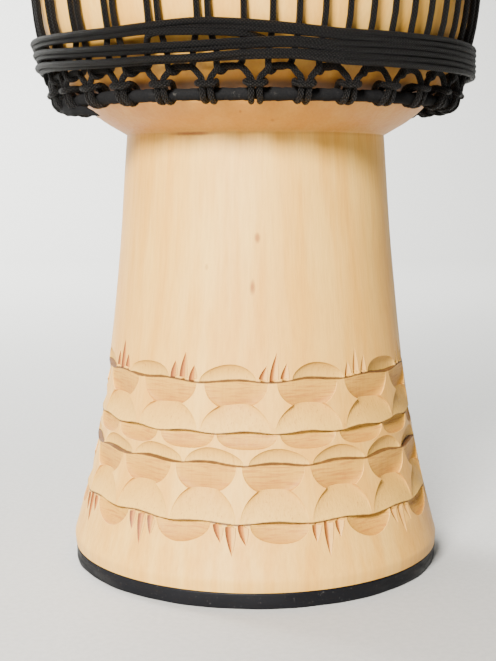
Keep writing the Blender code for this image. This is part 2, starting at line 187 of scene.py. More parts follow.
def unevenness(angle, height):
    """How far hand scraping left the wood off a true turned form: a few slow waves of 0.2 mm."""
    wave = (np.sin(3 * angle + 21 * height) + 0.7 * np.sin(7 * angle - 55 * height + 1.3)
            + 0.5 * np.sin(11 * angle + 90 * height + 0.4))
    return 0.00011 * wave


def line_height(index, angle):
    """Height of one of the four stop cuts: it rises over the cuts below it and sags between them."""
    count = (CUP_COUNT, LENS_COUNT, LOW_CUP_COUNT, LOW_CUP_COUNT)[index]
    phase = math.radians((CUP_ANGLE, LENS_ANGLE, LOW_CUP_ANGLE, LOW_CUP_ANGLE)[index])
    wave = np.cos(count * (angle - phase))
    wander = np.sin(2 * angle + index) + 0.6 * np.sin(5 * angle + 2.1 * index)
    return LINE_HEIGHTS[index] + 0.0008 * wave + 0.0004 * wander


def near_edge(row, angle):
    """The edge of a row of cuts along its line, half a ledge away from the line."""
    return line_height(row["line"], angle) + row["side"] * LEDGE / 2


def far_edge(row, angle):
    """The height that a row's cuts reach: their rise, or the waist that two rows share."""
    if "waist" not in row:
        return near_edge(row, angle) + row["side"] * row["rise"]
    top, low, share = row["waist"]
    return line_height(top, angle) * (1 - share) + line_height(low, angle) * share


def cut_row(line, side, count, angle, fill, depth, seed, **form):
    """A row of scoops: each has a centre and a half width, both a little uneven by hand."""
    step = TURN / count
    draw = np.random.default_rng(seed)
    centres = math.radians(angle) + np.arange(count) * step
    centres = centres + draw.uniform(-0.006, 0.006, count)
    halves = step / 2 * fill * (1 + draw.uniform(-0.02, 0.02, count))
    centres = one_turn(centres)
    order = np.argsort(centres)
    return dict(line=line, side=side, step=step, centres=centres[order], halves=halves[order],
                depth=depth, **form)


WAIST_DEPTH = 0.0040
UPPER_WAIST = dict(waist=(0, 1, 0.475), waist_half=math.radians(6.1))
LOWER_WAIST = dict(waist=(2, 3, 0.455), waist_half=math.radians(5.4))
DOMES = cut_row(0, 1, DOME_COUNT, DOME_ANGLE, 0.62, 0.0036, 1, rise=0.0098)
CUPS = cut_row(0, -1, CUP_COUNT, CUP_ANGLE, 0.88, WAIST_DEPTH, 2, **UPPER_WAIST)
FLARES = cut_row(1, 1, CUP_COUNT, CUP_ANGLE, 0.94, WAIST_DEPTH, 2, **UPPER_WAIST)
LENSES = cut_row(1, -1, LENS_COUNT, LENS_ANGLE, 0.95, 0.0034, 4, rise=0.0106)
ARCHES = cut_row(2, 1, LENS_COUNT, LENS_ANGLE + 180 / LENS_COUNT, 0.94, 0.0031, 5, rise=0.0090)
LOW_CUPS = cut_row(2, -1, LOW_CUP_COUNT, LOW_CUP_ANGLE, 0.93, WAIST_DEPTH, 6, **LOWER_WAIST)
LOW_FLARES = cut_row(3, 1, LOW_CUP_COUNT, LOW_CUP_ANGLE, 0.95, WAIST_DEPTH, 6, **LOWER_WAIST)
SCALLOPS = cut_row(3, -1, SCALLOP_COUNT, SCALLOP_ANGLE, 0.61, 0.0036, 8, rise=0.0125)
SCOOP_ROWS = (DOMES, CUPS, FLARES, LENSES, ARCHES, LOW_CUPS, LOW_FLARES, SCALLOPS)

SCOOP_SCALES = np.array((1, 0.985, 0.955, 0.90, 0.80, 0.68, 0.55, 0.42, 0.28, 0.14))
ARC_POINTS = 33
WAIST_POINTS = 15
BOWL_POWER = 0.62
SADDLE_POWER = 0.42
SADDLE_FALL = 0.9


def scoop_depth(row, across, up, top):
    """Depth inside a scoop, whose across and up run from 0 at the line's middle to 1 at the arc.

    A plain scoop is a bowl that is deepest at its line. Where two rows meet at a waist, each falls
    from the line to a hollow at the waist, so that a pair is a saddle between its two lines.
    """
    if "waist" not in row:
        return row["depth"] * np.clip(1 - across ** 2 - up ** 2, 0, 1) ** BOWL_POWER
    width = np.sqrt(np.clip(1 - up ** 2, 1e-9, 1))
    section = np.clip(1 - (across / width) ** 2, 0, 1) ** SADDLE_POWER
    return row["depth"] * np.clip(up / top, 0, 1) ** SADDLE_FALL * section


def scoop_points(row):
    """A row's points: each scoop's outline, drawn inwards in scaled copies towards its line.

    Returns angle, height, depth, whether it is carved, across and up as arrays of (scoop, copy,
    point on the outline).
    """
    turns = np.linspace(0, math.pi, ARC_POINTS)
    across = -np.cos(turns) * np.ones((len(row["centres"]), 1))
    up = np.sin(turns) * np.ones_like(across)
    top = np.ones((len(row["centres"]), 1))
    ridge_half = np.ones_like(top)
    if "waist" in row:
        ridge_half = row["waist_half"] / row["halves"][:, None]
        top = np.sqrt(1 - ridge_half ** 2)
        side_points = (ARC_POINTS - WAIST_POINTS) // 2 + 1
        climb = np.linspace(0, 1, side_points) * np.arcsin(top)
        flat = np.linspace(-1, 1, WAIST_POINTS)[1:-1] * ridge_half
        across = np.concatenate((-np.cos(climb), flat, np.cos(climb)[:, ::-1]), axis=1)
        up = np.concatenate((np.sin(climb), top + 0 * flat, np.sin(climb)[:, ::-1]), axis=1)
    scale = SCOOP_SCALES[None, :, None]
    across = across[:, None, :] * scale
    up = up[:, None, :] * scale
    top = top[:, None, :]
    angle = row["centres"][:, None, None] + row["halves"][:, None, None] * across
    height = near_edge(row, angle) * (1 - up / top) + far_edge(row, angle) * up / top
    depth = scoop_depth(row, across, up, top)
    carved = np.ones_like(depth)
    carved[:, 0] = depth[:, 0] > TINY
    return angle, height, depth, carved, across, up


class Carving:
    """Points and edges of the unrolled band, gathered piece by piece and joined at the end."""

    def __init__(self):
        self.points = []
        self.edges = []
        self.on_line = {}
        self.count = 0

    def add(self, angle, height, depth, carved, across, up, kind, chains=True):
        """Adds points; the last axis of the arrays is a chain whose neighbours are joined."""
        angle, height = np.broadcast_arrays(angle, height)
        values = [np.broadcast_to(value, angle.shape).ravel()
                  for value in (angle, height, depth, carved, across, up, kind)]
        number = self.count + np.arange(angle.size).reshape(angle.shape)
        self.points.append(np.stack(values, axis=1))
        if chains:
            self.edges.append(np.stack((number[..., :-1].ravel(), number[..., 1:].ravel()), axis=1))
        self.count += angle.size
        return number

    def join(self, first, second):
        """Adds edges from each of the first points to the second point in the same place."""
        self.edges.append(np.stack((np.ravel(first), np.ravel(second)), axis=1))

    def end_on_line(self, line, side, *columns):
        """Notes (angle, depth, across, carved, kind) of points where cuts end on a line's side."""
        rows = np.stack(np.broadcast_arrays(*columns), axis=1)
        self.on_line.setdefault((line, side), []).append(rows)


carving = Carving()

for row in SCOOP_ROWS:
    values = scoop_points(row)
    kind = -row["side"]
    carving.add(*(value[:, :2] for value in values), kind)
    carving.add(*(value[:, 2:] for value in values), kind, chains=False)
    angle, _, depth, carved, across, _ = (value[:, :, (0, -1)].ravel() for value in values)
    carving.end_on_line(row["line"], row["side"], angle, depth, across, carved, kind)
    middle_depth = scoop_depth(row, 0, 0 * row["centres"], 1)
    carving.end_on_line(row["line"], row["side"], row["centres"], middle_depth, 0, 1, kind)

# Spikes are groups of three narrow V cuts that a skew chisel made from the line outwards.
SPIKE_PITCH = 0.0057
PRONG_FILL = 0.42
SIDE_PRONG = 0.60
SPIKE_DEPTH = 0.0019
PRONG_LEAN = 0.45
PRONG_BEND = 1.4
PRONG_TAPER = 1.8
CREASE_OFFSET = -0.15
CREASE_RISE = 0.6
PRONG_STATIONS = np.array((0, 0.08, 0.18, 0.3, 0.44, 0.58, 0.72, 0.86))
SPIKE_KIND = 2.0


def add_spikes(line, side, count, first_angle, length, seed):
    """Leaf-shaped prongs: the half width swells and then tapers to the tip, the middle is a crease."""
    draw = np.random.default_rng(seed)
    step = TURN / count
    centres = one_turn(math.radians(first_angle) + np.arange(count) * step)
    hand = np.array((-1, 0, 1))
    pitch = SPIKE_PITCH / NECK_RADIUS
    middle = centres[:, None] + hand * pitch
    long = length * np.where(hand == 0, 1, SIDE_PRONG) * (1 + draw.uniform(-0.08, 0.08, middle.shape))
    lean = draw.uniform(-0.3, 0.8, (count, 1)) * pitch * PRONG_LEAN
    lean = lean + draw.uniform(-0.08, 0.08, middle.shape) * pitch
    share = PRONG_STATIONS
    half = pitch * PRONG_FILL * (1 - share ** PRONG_TAPER) * (1 + 0.5 * share * (1 - share))
    centre = middle[..., None] + lean[..., None] * share ** PRONG_BEND
    row = dict(line=line, side=side)
    tip_angle = middle + lean
    chains = []
    for offset, sunk in ((-1, 0), (CREASE_OFFSET, 1), (1, 0)):
        angle = centre + offset * half
        height = near_edge(row, angle) + side * long[..., None] * share
        depth = sunk * SPIKE_DEPTH * (1 - share) ** CREASE_RISE + 0 * angle
        chains.append(carving.add(angle, height, depth, sunk, offset, share, SPIKE_KIND))
        base, base_depth = angle[..., 0].ravel(), depth[..., 0].ravel()
        carving.end_on_line(line, side, base, base_depth, offset, sunk, SPIKE_KIND)
    tip_height = near_edge(row, tip_angle) + side * long
    tip = carving.add(tip_angle, tip_height, 0, 0, 0, 1, SPIKE_KIND, chains=False)
    for numbers in chains:
        carving.join(numbers[..., -1], tip)
    return centres, pitch * (1 + PRONG_FILL), length


UPPER_SPIKES = add_spikes(0, 1, DOME_COUNT, DOME_ANGLE + 180 / DOME_COUNT, 0.0180, 11)
LOWER_SPIKES = add_spikes(3, -1, SCALLOP_COUNT, SCALLOP_ANGLE + 180 / SCALLOP_COUNT, 0.0195, 12)

# The lines themselves: the points of the cuts that end there, and plain ones between them.
LINE_SPACING = 0.0016 / UNROLL_RADIUS


def thin_out(angles, taken, gap):
    """Leaves out the angles that come closer than a gap to one that is taken."""
    taken = np.sort(taken)
    taken = np.concatenate((taken - TURN, taken, taken + TURN))
    place = np.searchsorted(taken, angles)
    away = np.minimum(angles - taken[place - 1], taken[place] - angles)
    return angles[away > gap]


for (line, side), groups in carving.on_line.items():
    known = np.concatenate(groups)
    known[:, 0] = one_turn(known[:, 0])
    regular = -math.pi + np.arange(int(TURN / LINE_SPACING)) * LINE_SPACING
    regular = thin_out(regular, known[:, 0], LINE_SPACING * 0.45)
    for row in SCOOP_ROWS:
        if (row["line"], row["side"]) == (line, side):
            away = np.abs(one_turn(regular[:, None] - row["centres"]))
            regular = regular[np.all(away > row["halves"], axis=1)]
    chain = np.concatenate((known, regular[:, None] * (1, 0, 0, 0, 0)))
    chain = chain[np.argsort(chain[:, 0])]
    chain = chain[np.diff(chain[:, 0], append=chain[0, 0] + TURN) > WELD]
    angle, depth, across, carved, kind = chain.T
    height = near_edge(dict(line=line, side=side), angle)
    number = carving.add(angle, height, depth, carved, across, 0, kind)
    carving.join(number[-1:], number[:1])

# Plain facets between the cuts, and the plain wood above and below the band.
FACET_SPACING = 0.0034
LINE_ROOM = 0.0011
SCOOP_ROOM = 0.12
END_ROOM = 0.1
SPIKE_ROOM = 0.35


def away_from_cuts(angle, height):
    """Where a point lies outside every scoop and spike and off the lines, with some room."""
    clear = np.ones(angle.shape, bool)
    for index in range(4):
        clear &= np.abs(height - line_height(index, angle)) > LINE_ROOM
    for row in SCOOP_ROWS:
        off = one_turn(angle[:, None] - row["centres"])
        nearest = np.argmin(np.abs(off), axis=1)
        across = off[np.arange(len(off)), nearest] / row["halves"][nearest]
        near, far = near_edge(row, angle), far_edge(row, angle)
        top = 1.0
        if "waist" in row:
            top = math.sqrt(1 - (row["waist_half"] / row["halves"].mean()) ** 2)
        up = (height - near) / (far - near) * top
        clear &= (np.hypot(across, up) > 1 + SCOOP_ROOM) | (up < -END_ROOM) | (up > top + END_ROOM)
    for line, side, (centres, half, length) in ((0, 1, UPPER_SPIKES), (3, -1, LOWER_SPIKES)):
        off = np.abs(one_turn(angle[:, None] - centres)).min(axis=1)
        climb = (height - line_height(line, angle)) * side / length
        clear &= (off > half * (1 + SPIKE_ROOM)) | (climb < -0.05) | (climb > 1.15)
    return clear


draw = np.random.default_rng(21)
plain_rows = np.arange(BAND_LOW + FACET_SPACING * 0.8, BAND_HIGH - FACET_SPACING * 0.6, FACET_SPACING * 0.87)
plain_step = FACET_SPACING / UNROLL_RADIUS
plain_columns = np.arange(-math.pi, math.pi - 0.01, plain_step)
plain_angle = np.add.outer(np.arange(len(plain_rows)) % 2 * 0.5 * plain_step, plain_columns)
plain_angle = (plain_angle + draw.uniform(-0.004, 0.004, plain_angle.shape)).ravel()
uneven_rows = draw.uniform(-0.0004, 0.0004, (len(plain_rows), len(plain_columns)))
plain_height = (plain_rows[:, None] + uneven_rows).ravel()
plain_angle = one_turn(plain_angle)
clear = away_from_cuts(plain_angle, plain_height)
carving.add(plain_angle[clear], plain_height[clear], 0, 0, 0, 0, 0, chains=False)

ring_angles = -math.pi + np.arange(RING_COLUMNS) * TURN / RING_COLUMNS
edge_rings = []
for height in (BAND_LOW, BAND_HIGH):
    number = carving.add(ring_angles, height, 0, 0, 0, 0, 0)
    carving.join(number[-1:], number[:1])
    edge_rings.append(number)


def merged(carving):
    """Points that lie on each other become one; angles are brought to one turn first."""
    points = np.concatenate(carving.points)
    points[:, 0] = one_turn(points[:, 0])
    place = np.round(points[:, :2] / WELD).astype(np.int64)
    place[:, 0] %= round(TURN / WELD)
    _, first, group = np.unique(place, axis=0, return_index=True, return_inverse=True)
    group = group.ravel()
    edges = group[np.concatenate(carving.edges)]
    edges = edges[edges[:, 0] != edges[:, 1]]
    edges = np.unique(np.sort(edges, axis=1), axis=0)
    return points[first], edges, group


def triangles_round(points, edges):
    """Constrained triangles of the unrolled band, the same on both sides of its seam.

    The plane runs on past the seam at both ends; only triangles whose middle lies within one turn
    are kept, and their corners go back to the points that were repeated.
    """
    margin = 0.45
    angle = points[:, 0]
    kept = np.stack([np.abs(angle + lap * TURN) < math.pi + margin for lap in (-1, 0, 1)])
    number = np.full(kept.shape, -1)
    number[kept] = np.arange(kept.sum())
    lap_of, base_of = np.nonzero(kept)
    plane = np.stack((points[base_of, 0] + (lap_of - 1) * TURN, points[base_of, 1]), axis=1)
    crossing = np.round((angle[edges[:, 0]] - angle[edges[:, 1]]) / TURN).astype(int)
    fixed = []
    for lap in (0, 1, 2):
        other = lap + crossing
        inside = (other >= 0) & (other <= 2)
        first = number[lap, edges[inside, 0]]
        second = number[other[inside], edges[inside, 1]]
        both = (first >= 0) & (second >= 0)
        fixed.append(np.stack((first[both], second[both]), axis=1))
    fixed = np.concatenate(fixed)
    flat = np.stack((plane[:, 0] * UNROLL_RADIUS + plane[:, 1] * UNROLL_SHEAR, plane[:, 1]), axis=1)
    result = geometry.delaunay_2d_cdt(flat.tolist(), fixed.tolist(), [], 0, 1e-8)
    if len(result[0]) != len(flat):
        raise RuntimeError("the cuts of the band cross each other or coincide")
    faces = np.array(result[2])
    centre = plane[faces, 0].mean(axis=1)
    faces = faces[(centre >= -math.pi) & (centre < math.pi)]
    return base_of[faces]


band_points, band_edges, band_group = merged(carving)
band_faces = triangles_round(band_points, band_edges)

NECK_SOFTNESS = 0.0009
OUTER_ROOM = 0.0045


def turned_profile():
    """(radius, height) points from the band's upper edge over the rim, down the inside and round
    the foot to the band's lower edge, without the two edges themselves."""
    foot = SHELL_LOW
    waist = np.linspace(BAND_HIGH, NECK_HEIGHT - NECK_SOFTNESS, 34)[1:]
    outside = np.stack((stem_radius(waist), waist), axis=1)
    neck = bezier(outside[-1], NECK, NECK, NECK + UNDERSIDE * NECK_SOFTNESS, np.linspace(0, 1, 5)[1:])
    under = between(NECK + UNDERSIDE * NECK_SOFTNESS, SHOULDER_START, 5)[1:]
    curve = shoulder(np.linspace(0, 1, 22))
    side = between(SHOULDER_END, (RIM_RADIUS, SHELL_HIGH - RIM_ROUND), 24)[1:]
    corner = (RIM_RADIUS, SHELL_HIGH)
    lip = bezier((RIM_RADIUS, SHELL_HIGH - RIM_ROUND), corner, corner,
                 (RIM_RADIUS - RIM_ROUND, SHELL_HIGH), np.linspace(0, 1, 6))
    inward = np.array((-UNDERSIDE[1], UNDERSIDE[0]))
    start = SHOULDER_START + inward * UNDERSIDE_WALL
    end = SHOULDER_END - np.array((BOWL_WALL, 0))
    bowl_edge = np.array((RIM_RADIUS - RIM_WALL, SHELL_HIGH - RIM_BEVEL))
    bevel = between(lip[-1], bowl_edge, 4)[1:]
    inside_side = between(bowl_edge, end, 20)
    inside_curve = bezier(end, end - SIDE * SHOULDER_HANDLE_HIGH,
                          start + UNDERSIDE * SHOULDER_HANDLE_LOW * INNER_HANDLE_SHARE, start,
                          np.linspace(0, 1, 16))
    throat = NECK_RADIUS - NECK_WALL
    throat_top = np.array((throat, NECK_HEIGHT + UNDERSIDE_WALL / 2))
    throat_low = np.array((throat, NECK_HEIGHT - UNDERSIDE_WALL / 2))
    slope = between(inside_curve[-1], throat_top, 4)[1:]
    bore = np.linspace(throat_low[1], foot, 26)[1:]
    wall = NECK_WALL + (STEM_WALL - NECK_WALL) * climb_from(bore, NECK_HEIGHT, BAND_HIGH)
    inside_stem = np.stack((stem_radius(bore) - wall, bore), axis=1)
    foot_corner = np.array((FOOT_RADIUS - FOOT_EASE, foot))
    foot_face = between(inside_stem[-1], foot_corner, 5)[1:]
    rise = np.linspace(foot, BAND_LOW, 7)[:-1]
    ease = climb_from(rise, FOOT_BULGE_HEIGHT, foot) ** 2 * FOOT_EASE
    bulge = np.stack((np.minimum(stem_radius(rise), FOOT_RADIUS) - ease, rise), axis=1)
    return np.concatenate((outside, neck, under, curve, side, lip, bevel, inside_side, inside_curve,
                           slope, throat_top[None], throat_low[None], inside_stem, foot_face, bulge))


def shell_points():
    """All points and triangles of the shell: the rolled-up band, welded to the turned surfaces."""
    angle, height, depth = band_points[:, 0], band_points[:, 1], band_points[:, 2]
    radius = np.minimum(stem_radius(height), FOOT_RADIUS) + unevenness(angle, height) - depth
    band = at(angle, radius, height)
    profile = turned_profile()
    radii, heights = profile[:, 0:1], profile[:, 1:2]
    ring = ring_angles[None, :]
    outline = np.where(heights > NECK_HEIGHT, bowl_radius(heights), stem_radius(heights))
    outer = (heights > SHELL_LOW + TINY) & (radii > outline - OUTER_ROOM)
    rest = at(ring, radii + unevenness(ring, heights) * outer, heights)
    number = len(band) + np.arange(len(profile) * RING_COLUMNS).reshape(len(profile), RING_COLUMNS)
    low_ring, high_ring = (band_group[edge_ring] for edge_ring in edge_rings)
    quads = grid_quads(np.concatenate((high_ring[None], number, low_ring[None])), False)
    faces = np.concatenate((quads[:, (0, 3, 2)], quads[:, (0, 2, 1)]))
    return np.concatenate((band, rest.reshape(-1, 3))), np.concatenate((band_faces, faces))


def new_piece(name, points, faces, crease=None):
    """A mesh object at the origin from arrays of points and of triangles or quads."""
    mesh = bpy.data.meshes.new(name)
    corners = faces.shape[1]
    mesh.vertices.add(len(points))
    mesh.vertices.foreach_set("co", np.asarray(points, np.float32).ravel())
    mesh.loops.add(faces.size)
    mesh.loops.foreach_set("vertex_index", faces.astype(np.int32).ravel())
    mesh.polygons.add(len(faces))
    mesh.polygons.foreach_set("loop_start", np.arange(0, faces.size, corners, dtype=np.int32))
    mesh.update(calc_edges=True)
    mesh.validate()
    mesh.shade_smooth()
    if crease:
        mesh.set_sharp_from_angle(angle=math.radians(crease))
    piece = bpy.data.objects.new(name, mesh)
    bpy.context.scene.collection.objects.link(piece)
    return piece


def set_values(piece, name, values):
    """Stores one number for each point of a piece, for its material to read."""
    layer = piece.data.attributes.new(name, "FLOAT", "POINT")
    layer.data.foreach_set("value", np.asarray(values, np.float32))


shell_places, shell_faces = shell_points()
shell = new_piece("carved_shell", shell_places, shell_faces, crease=24)
extra = len(shell_places) - len(band_points)
lines_away = np.min([np.abs(band_points[:, 1] - line_height(index, band_points[:, 0]))
                     for index in range(4)], axis=0)
for name, values, elsewhere in (
        ("line_distance", np.minimum(lines_away * 1000, 6), 6),
        ("cut", band_points[:, 3], 0),
        ("cut_across", band_points[:, 4], 0),
        ("cut_up", band_points[:, 5], 0),
        ("cut_spike", band_points[:, 6] > 1.5, 0),
        ("cut_kind", band_points[:, 6] * (band_points[:, 3] > 0), 0)):
    set_values(shell, name, np.concatenate((values, np.full(extra, elsewhere))))


def paint(red, green, blue):
    """A colour given as on screen, from 0 to 255, in the linear values that shaders take."""
    value = np.array((red, green, blue)) / 255
    linear = np.where(value <= 0.04045, value / 12.92, ((value + 0.055) / 1.055) ** 2.4)
    return (*[float(part) for part in linear], 1.0)


def set_inputs(tree, node, inputs):
    """Sets or links a node's sockets, which are given by name or number."""
    for name, value in inputs.items():
        if isinstance(value, bpy.types.NodeSocket):
            tree.links.new(value, node.inputs[name])
        else:
            node.inputs[name].default_value = value


def add_node(tree, kind, inputs=None, **settings):
    """A shader node with its settings and inputs."""
    node = tree.nodes.new(kind)
    for name, value in settings.items():
        setattr(node, name, value)
    set_inputs(tree, node, inputs or {})
    return node


def maths(tree, operation, first, second=0.0, third=0.0):
    """The output of a maths node."""
    return add_node(tree, "ShaderNodeMath", {0: first, 1: second, 2: third}, operation=operation).outputs[0]


def vector_maths(tree, operation, first, second):
    """The vector that a vector maths node puts out."""
    inputs = {0: first, 3 if operation == "SCALE" else 1: second}
    return add_node(tree, "ShaderNodeVectorMath", inputs, operation=operation).outputs[0]


def ramp(tree, value, low, high, start=0.0, end=1.0):
    """A smooth step from start to end as value goes from low to high."""
    inputs = {"Value": value, "From Min": low, "From Max": high, "To Min": start, "To Max": end}
    return add_node(tree, "ShaderNodeMapRange", inputs, interpolation_type="SMOOTHSTEP").outputs["Result"]


def mix(tree, share, first, second):
    """The colour between two colours."""
    inputs = {"Factor": share, 6: first, 7: second}
    return add_node(tree, "ShaderNodeMix", inputs, data_type="RGBA").outputs[2]


def tinted(tree, colour, value, low, high, share, other):
    """A colour that goes over to another, up to a share, as a value goes from low to high."""
    return mix(tree, ramp(tree, value, low, high, 0.0, share), colour, other)


def stretched_noise(tree, place, stretch, detail=4.0, roughness=0.6):
    """Noise over a place whose axes are first stretched by three factors."""
    scaled = vector_maths(tree, "MULTIPLY", place, stretch)
    inputs = {"Vector": scaled, "Scale": 1.0, "Detail": detail, "Roughness": roughness}
    return add_node(tree, "ShaderNodeTexNoise", inputs).outputs["Fac"]


def bump(tree, height, strength, distance):
    """Normals that a height bends; the distance is the depth of the relief in metres."""
    inputs = {"Height": height, "Strength": strength, "Distance": distance}
    return add_node(tree, "ShaderNodeBump", inputs).outputs[0]


def object_place(tree):
    """Where a point of the piece lies, in the drum's own metres."""
    return add_node(tree, "ShaderNodeTexCoord").outputs["Object"]


def attribute(tree, name):
    """A value stored on the mesh."""
    return add_node(tree, "ShaderNodeAttribute", attribute_name=name).outputs["Fac"]


def new_material(name, piece):
    """An empty material with a Principled shader, put on a piece that gets its slot too."""
    material = bpy.data.materials.new(name)
    material.use_nodes = True
    tree = material.node_tree
    tree.nodes.clear()
    shader = tree.nodes.new("ShaderNodeBsdfPrincipled")
    output = tree.nodes.new("ShaderNodeOutputMaterial")
    tree.links.new(shader.outputs[0], output.inputs["Surface"])
    piece.data.materials.clear()
    piece.data.materials.append(material)
    return tree, shader


def new_group(name, inputs, outputs):
    """A shader node group with sockets made from (name, socket type, default) and (name, type)."""
    group = bpy.data.node_groups.new(name, "ShaderNodeTree")
    for socket_name, kind, default in inputs:
        socket = group.interface.new_socket(socket_name, in_out="INPUT", socket_type=kind)
        if default is not None:
            socket.default_value = default
    for socket_name, kind in outputs:
        group.interface.new_socket(socket_name, in_out="OUTPUT", socket_type=kind)
    return group, group.nodes.new("NodeGroupInput").outputs, group.nodes.new("NodeGroupOutput")


def place_group(tree, group, inputs):
    """The outputs of a node that uses a group."""
    return add_node(tree, "ShaderNodeGroup", inputs, node_tree=group).outputs


grain_group, grain_in, grain_out = new_group(
    "long_grain", (("Place", "NodeSocketVector", None),),
    (("Streaks", "NodeSocketFloat"), ("Fibres", "NodeSocketFloat"), ("Clouds", "NodeSocketFloat")))
set_inputs(grain_group, grain_out, {
    "Streaks": stretched_noise(grain_group, grain_in["Place"], (75, 75, 2.2), 3.0),
    "Fibres": stretched_noise(grain_group, grain_in["Place"], (620, 620, 22), 4.0),
    "Clouds": stretched_noise(grain_group, grain_in["Place"], (11, 11, 5), 2.0)})

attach(shell, "root")
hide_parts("shell")
wood, wood_shader = new_material("varnished_pale_wood", shell)
wood_place = object_place(wood)
grain = place_group(wood, grain_group, {"Place": wood_place})
cut, across, up = (attribute(wood, name) for name in ("cut", "cut_across", "cut_up"))
cut_kind, line_gap = attribute(wood, "cut_kind"), attribute(wood, "line_distance")
inside = ramp(wood, cut, 0.0, 0.12)
is_spike = maths(wood, "GREATER_THAN", attribute(wood, "cut_spike"), 0.995)
is_spike = maths(wood, "MULTIPLY", is_spike, maths(wood, "GREATER_THAN", cut, 0.005))
is_low = maths(wood, "GREATER_THAN", cut_kind, maths(wood, "MULTIPLY_ADD", is_spike, 9.0, 0.5))
is_low = maths(wood, "MULTIPLY", is_low, inside)
is_high = maths(wood, "MULTIPLY", maths(wood, "LESS_THAN", cut_kind, -0.5), inside)
height = add_node(wood, "ShaderNodeSeparateXYZ", {0: wood_place}).outputs["Z"]

plain = mix(wood, ramp(wood, grain["Streaks"], 0.35, 0.65), paint(228, 169, 70), paint(238, 189, 94))
plain = tinted(wood, plain, grain["Clouds"], 0.3, 0.7, 0.5, paint(222, 156, 56))
# Painted shade: the underside of the bowl, just above the neck, is darkened because it faces down, away from
# the light.
underside_shade = ramp(wood, height, 0.284, 0.288)
underside_shade = maths(wood, "MULTIPLY", underside_shade, ramp(wood, height, 0.31, 0.34, 1.0, 0.0))
plain = mix(wood, maths(wood, "MULTIPLY", underside_shade, 0.65), plain, paint(176, 112, 42))

# Painted shade: the wood right behind the bottom ring is darkened, as the ring shades it.
ring_shadow_on_wood = ramp(wood, height, 0.305, 0.3065)
ring_shadow_on_wood = maths(wood, "MULTIPLY", ring_shadow_on_wood, ramp(wood, height, 0.3125, 0.3175, 1.0, 0.0))
plain = mix(wood, maths(wood, "MULTIPLY", ring_shadow_on_wood, 0.85), plain, paint(58, 34, 18))

# Small knots and stains: place and size in metres of each, and how strongly it shows.
MARKS = (
    ((0.001, -0.0935, 0.2225), (0.0022, 0.0036), 0.75),
    ((-0.002, -0.098, 0.1926), (0.0020, 0.0055), 0.85),
    ((-0.030, -0.088, 0.2045), (0.0012, 0.0022), 0.35),
    ((0.046, -0.104, 0.172), (0.0030, 0.0016), 0.30),
    ((-0.043, -0.078, 0.2855), (0.0240, 0.0014), 0.80),
    ((0.010, -0.0935, 0.2928), (0.0014, 0.0010), 0.60),
    ((-0.009, -0.1030, 0.2975), (0.0010, 0.0010), 0.55))
MARK_DEPTH = 0.012
for mark_place, (wide, tall), strength in MARKS:
    gap = vector_maths(wood, "SUBTRACT", wood_place, mark_place)
    gap = vector_maths(wood, "MULTIPLY", gap, (1 / wide, 1 / MARK_DEPTH, 1 / tall))
    gap = add_node(wood, "ShaderNodeVectorMath", {0: gap}, operation="LENGTH").outputs["Value"]
    gap = maths(wood, "ADD", gap, maths(wood, "MULTIPLY_ADD", grain["Fibres"], 0.8, -0.4))
    plain = mix(wood, ramp(wood, gap, 0.3, 1.2, strength, 0.0), plain, paint(150, 84, 34))

chisel = stretched_noise(wood, wood_place, (70, 70, 820), 3.0)
speckle = stretched_noise(wood, wood_place, (1100, 1100, 230), 3.0)
# The scoops below a line are a darker tan than those above it. Each scoop's colour also darkens towards its
# arc or waist, which is painted shade under the arc's wall and in the deepest part of the hollow.
low_colour = mix(wood, up, paint(216, 161, 62), paint(190, 129, 38))
low_colour = tinted(wood, low_colour, chisel, 0.45, 0.68, 0.55, paint(168, 100, 38))
high_colour = mix(wood, up, paint(226, 176, 80), paint(210, 152, 56))
high_colour = tinted(wood, high_colour, speckle, 0.58, 0.72, 0.55, paint(168, 102, 42))
# Painted shade on the spikes: each prong's left wall, which faces away from the light, is dark, and its
# right wall darkens towards the crease. A thin dark line runs along the right edge.
shaded_left_wall = mix(wood, ramp(wood, across, -1.0, -0.45), paint(96, 44, 14), paint(150, 86, 34))
right_wall = mix(wood, ramp(wood, across, -0.15, 0.3), paint(190, 124, 50), paint(222, 168, 82))
right_wall = mix(wood, ramp(wood, across, 0.84, 0.97), right_wall, paint(110, 54, 18))
spike_colour = mix(wood, ramp(wood, across, -0.62, -0.3), shaded_left_wall, right_wall)
carved = mix(wood, is_low, plain, low_colour)
carved = mix(wood, is_high, carved, high_colour)
carved = mix(wood, is_spike, carved, spike_colour)
# The stop cuts are painted dark along their lines. This is partly the stain in the cut's end grain and
# partly painted shade in the step and under its overhang.
line_wander = stretched_noise(wood, wood_place, (160, 160, 160), 2.0)
line_reach = maths(wood, "MULTIPLY_ADD", line_wander, 1.3, 0.2)
line_share = maths(wood, "DIVIDE", line_gap, line_reach)
carved = mix(wood, ramp(wood, line_share, 0.15, 1.1, 0.92, 0.0), carved, paint(48, 15, 5))
carved = tinted(wood, carved, grain["Fibres"], 0.35, 0.75, 0.16, paint(160, 92, 38))
tool_marks = maths(wood, "MULTIPLY", chisel, is_low)
tool_marks = maths(wood, "MULTIPLY_ADD", speckle, is_high, tool_marks)
surface = maths(wood, "MULTIPLY_ADD", tool_marks, 1.6, grain["Fibres"])
roughness = ramp(wood, grain["Fibres"], 0.3, 0.7, 0.44, 0.56)
set_inputs(wood, wood_shader, {
    "Base Color": carved,
    "Roughness": maths(wood, "MULTIPLY_ADD", inside, 0.14, roughness),
    "Normal": bump(wood, surface, 0.3, 0.0006),
    "Coat Weight": maths(wood, "MULTIPLY_ADD", inside, -0.06, 0.07),
    "Coat Roughness": 0.35,
    "Specular IOR Level": 0.32})


# Rubber strip
# A flat black rubber band is nailed and glued under the foot, where it meets the floor.

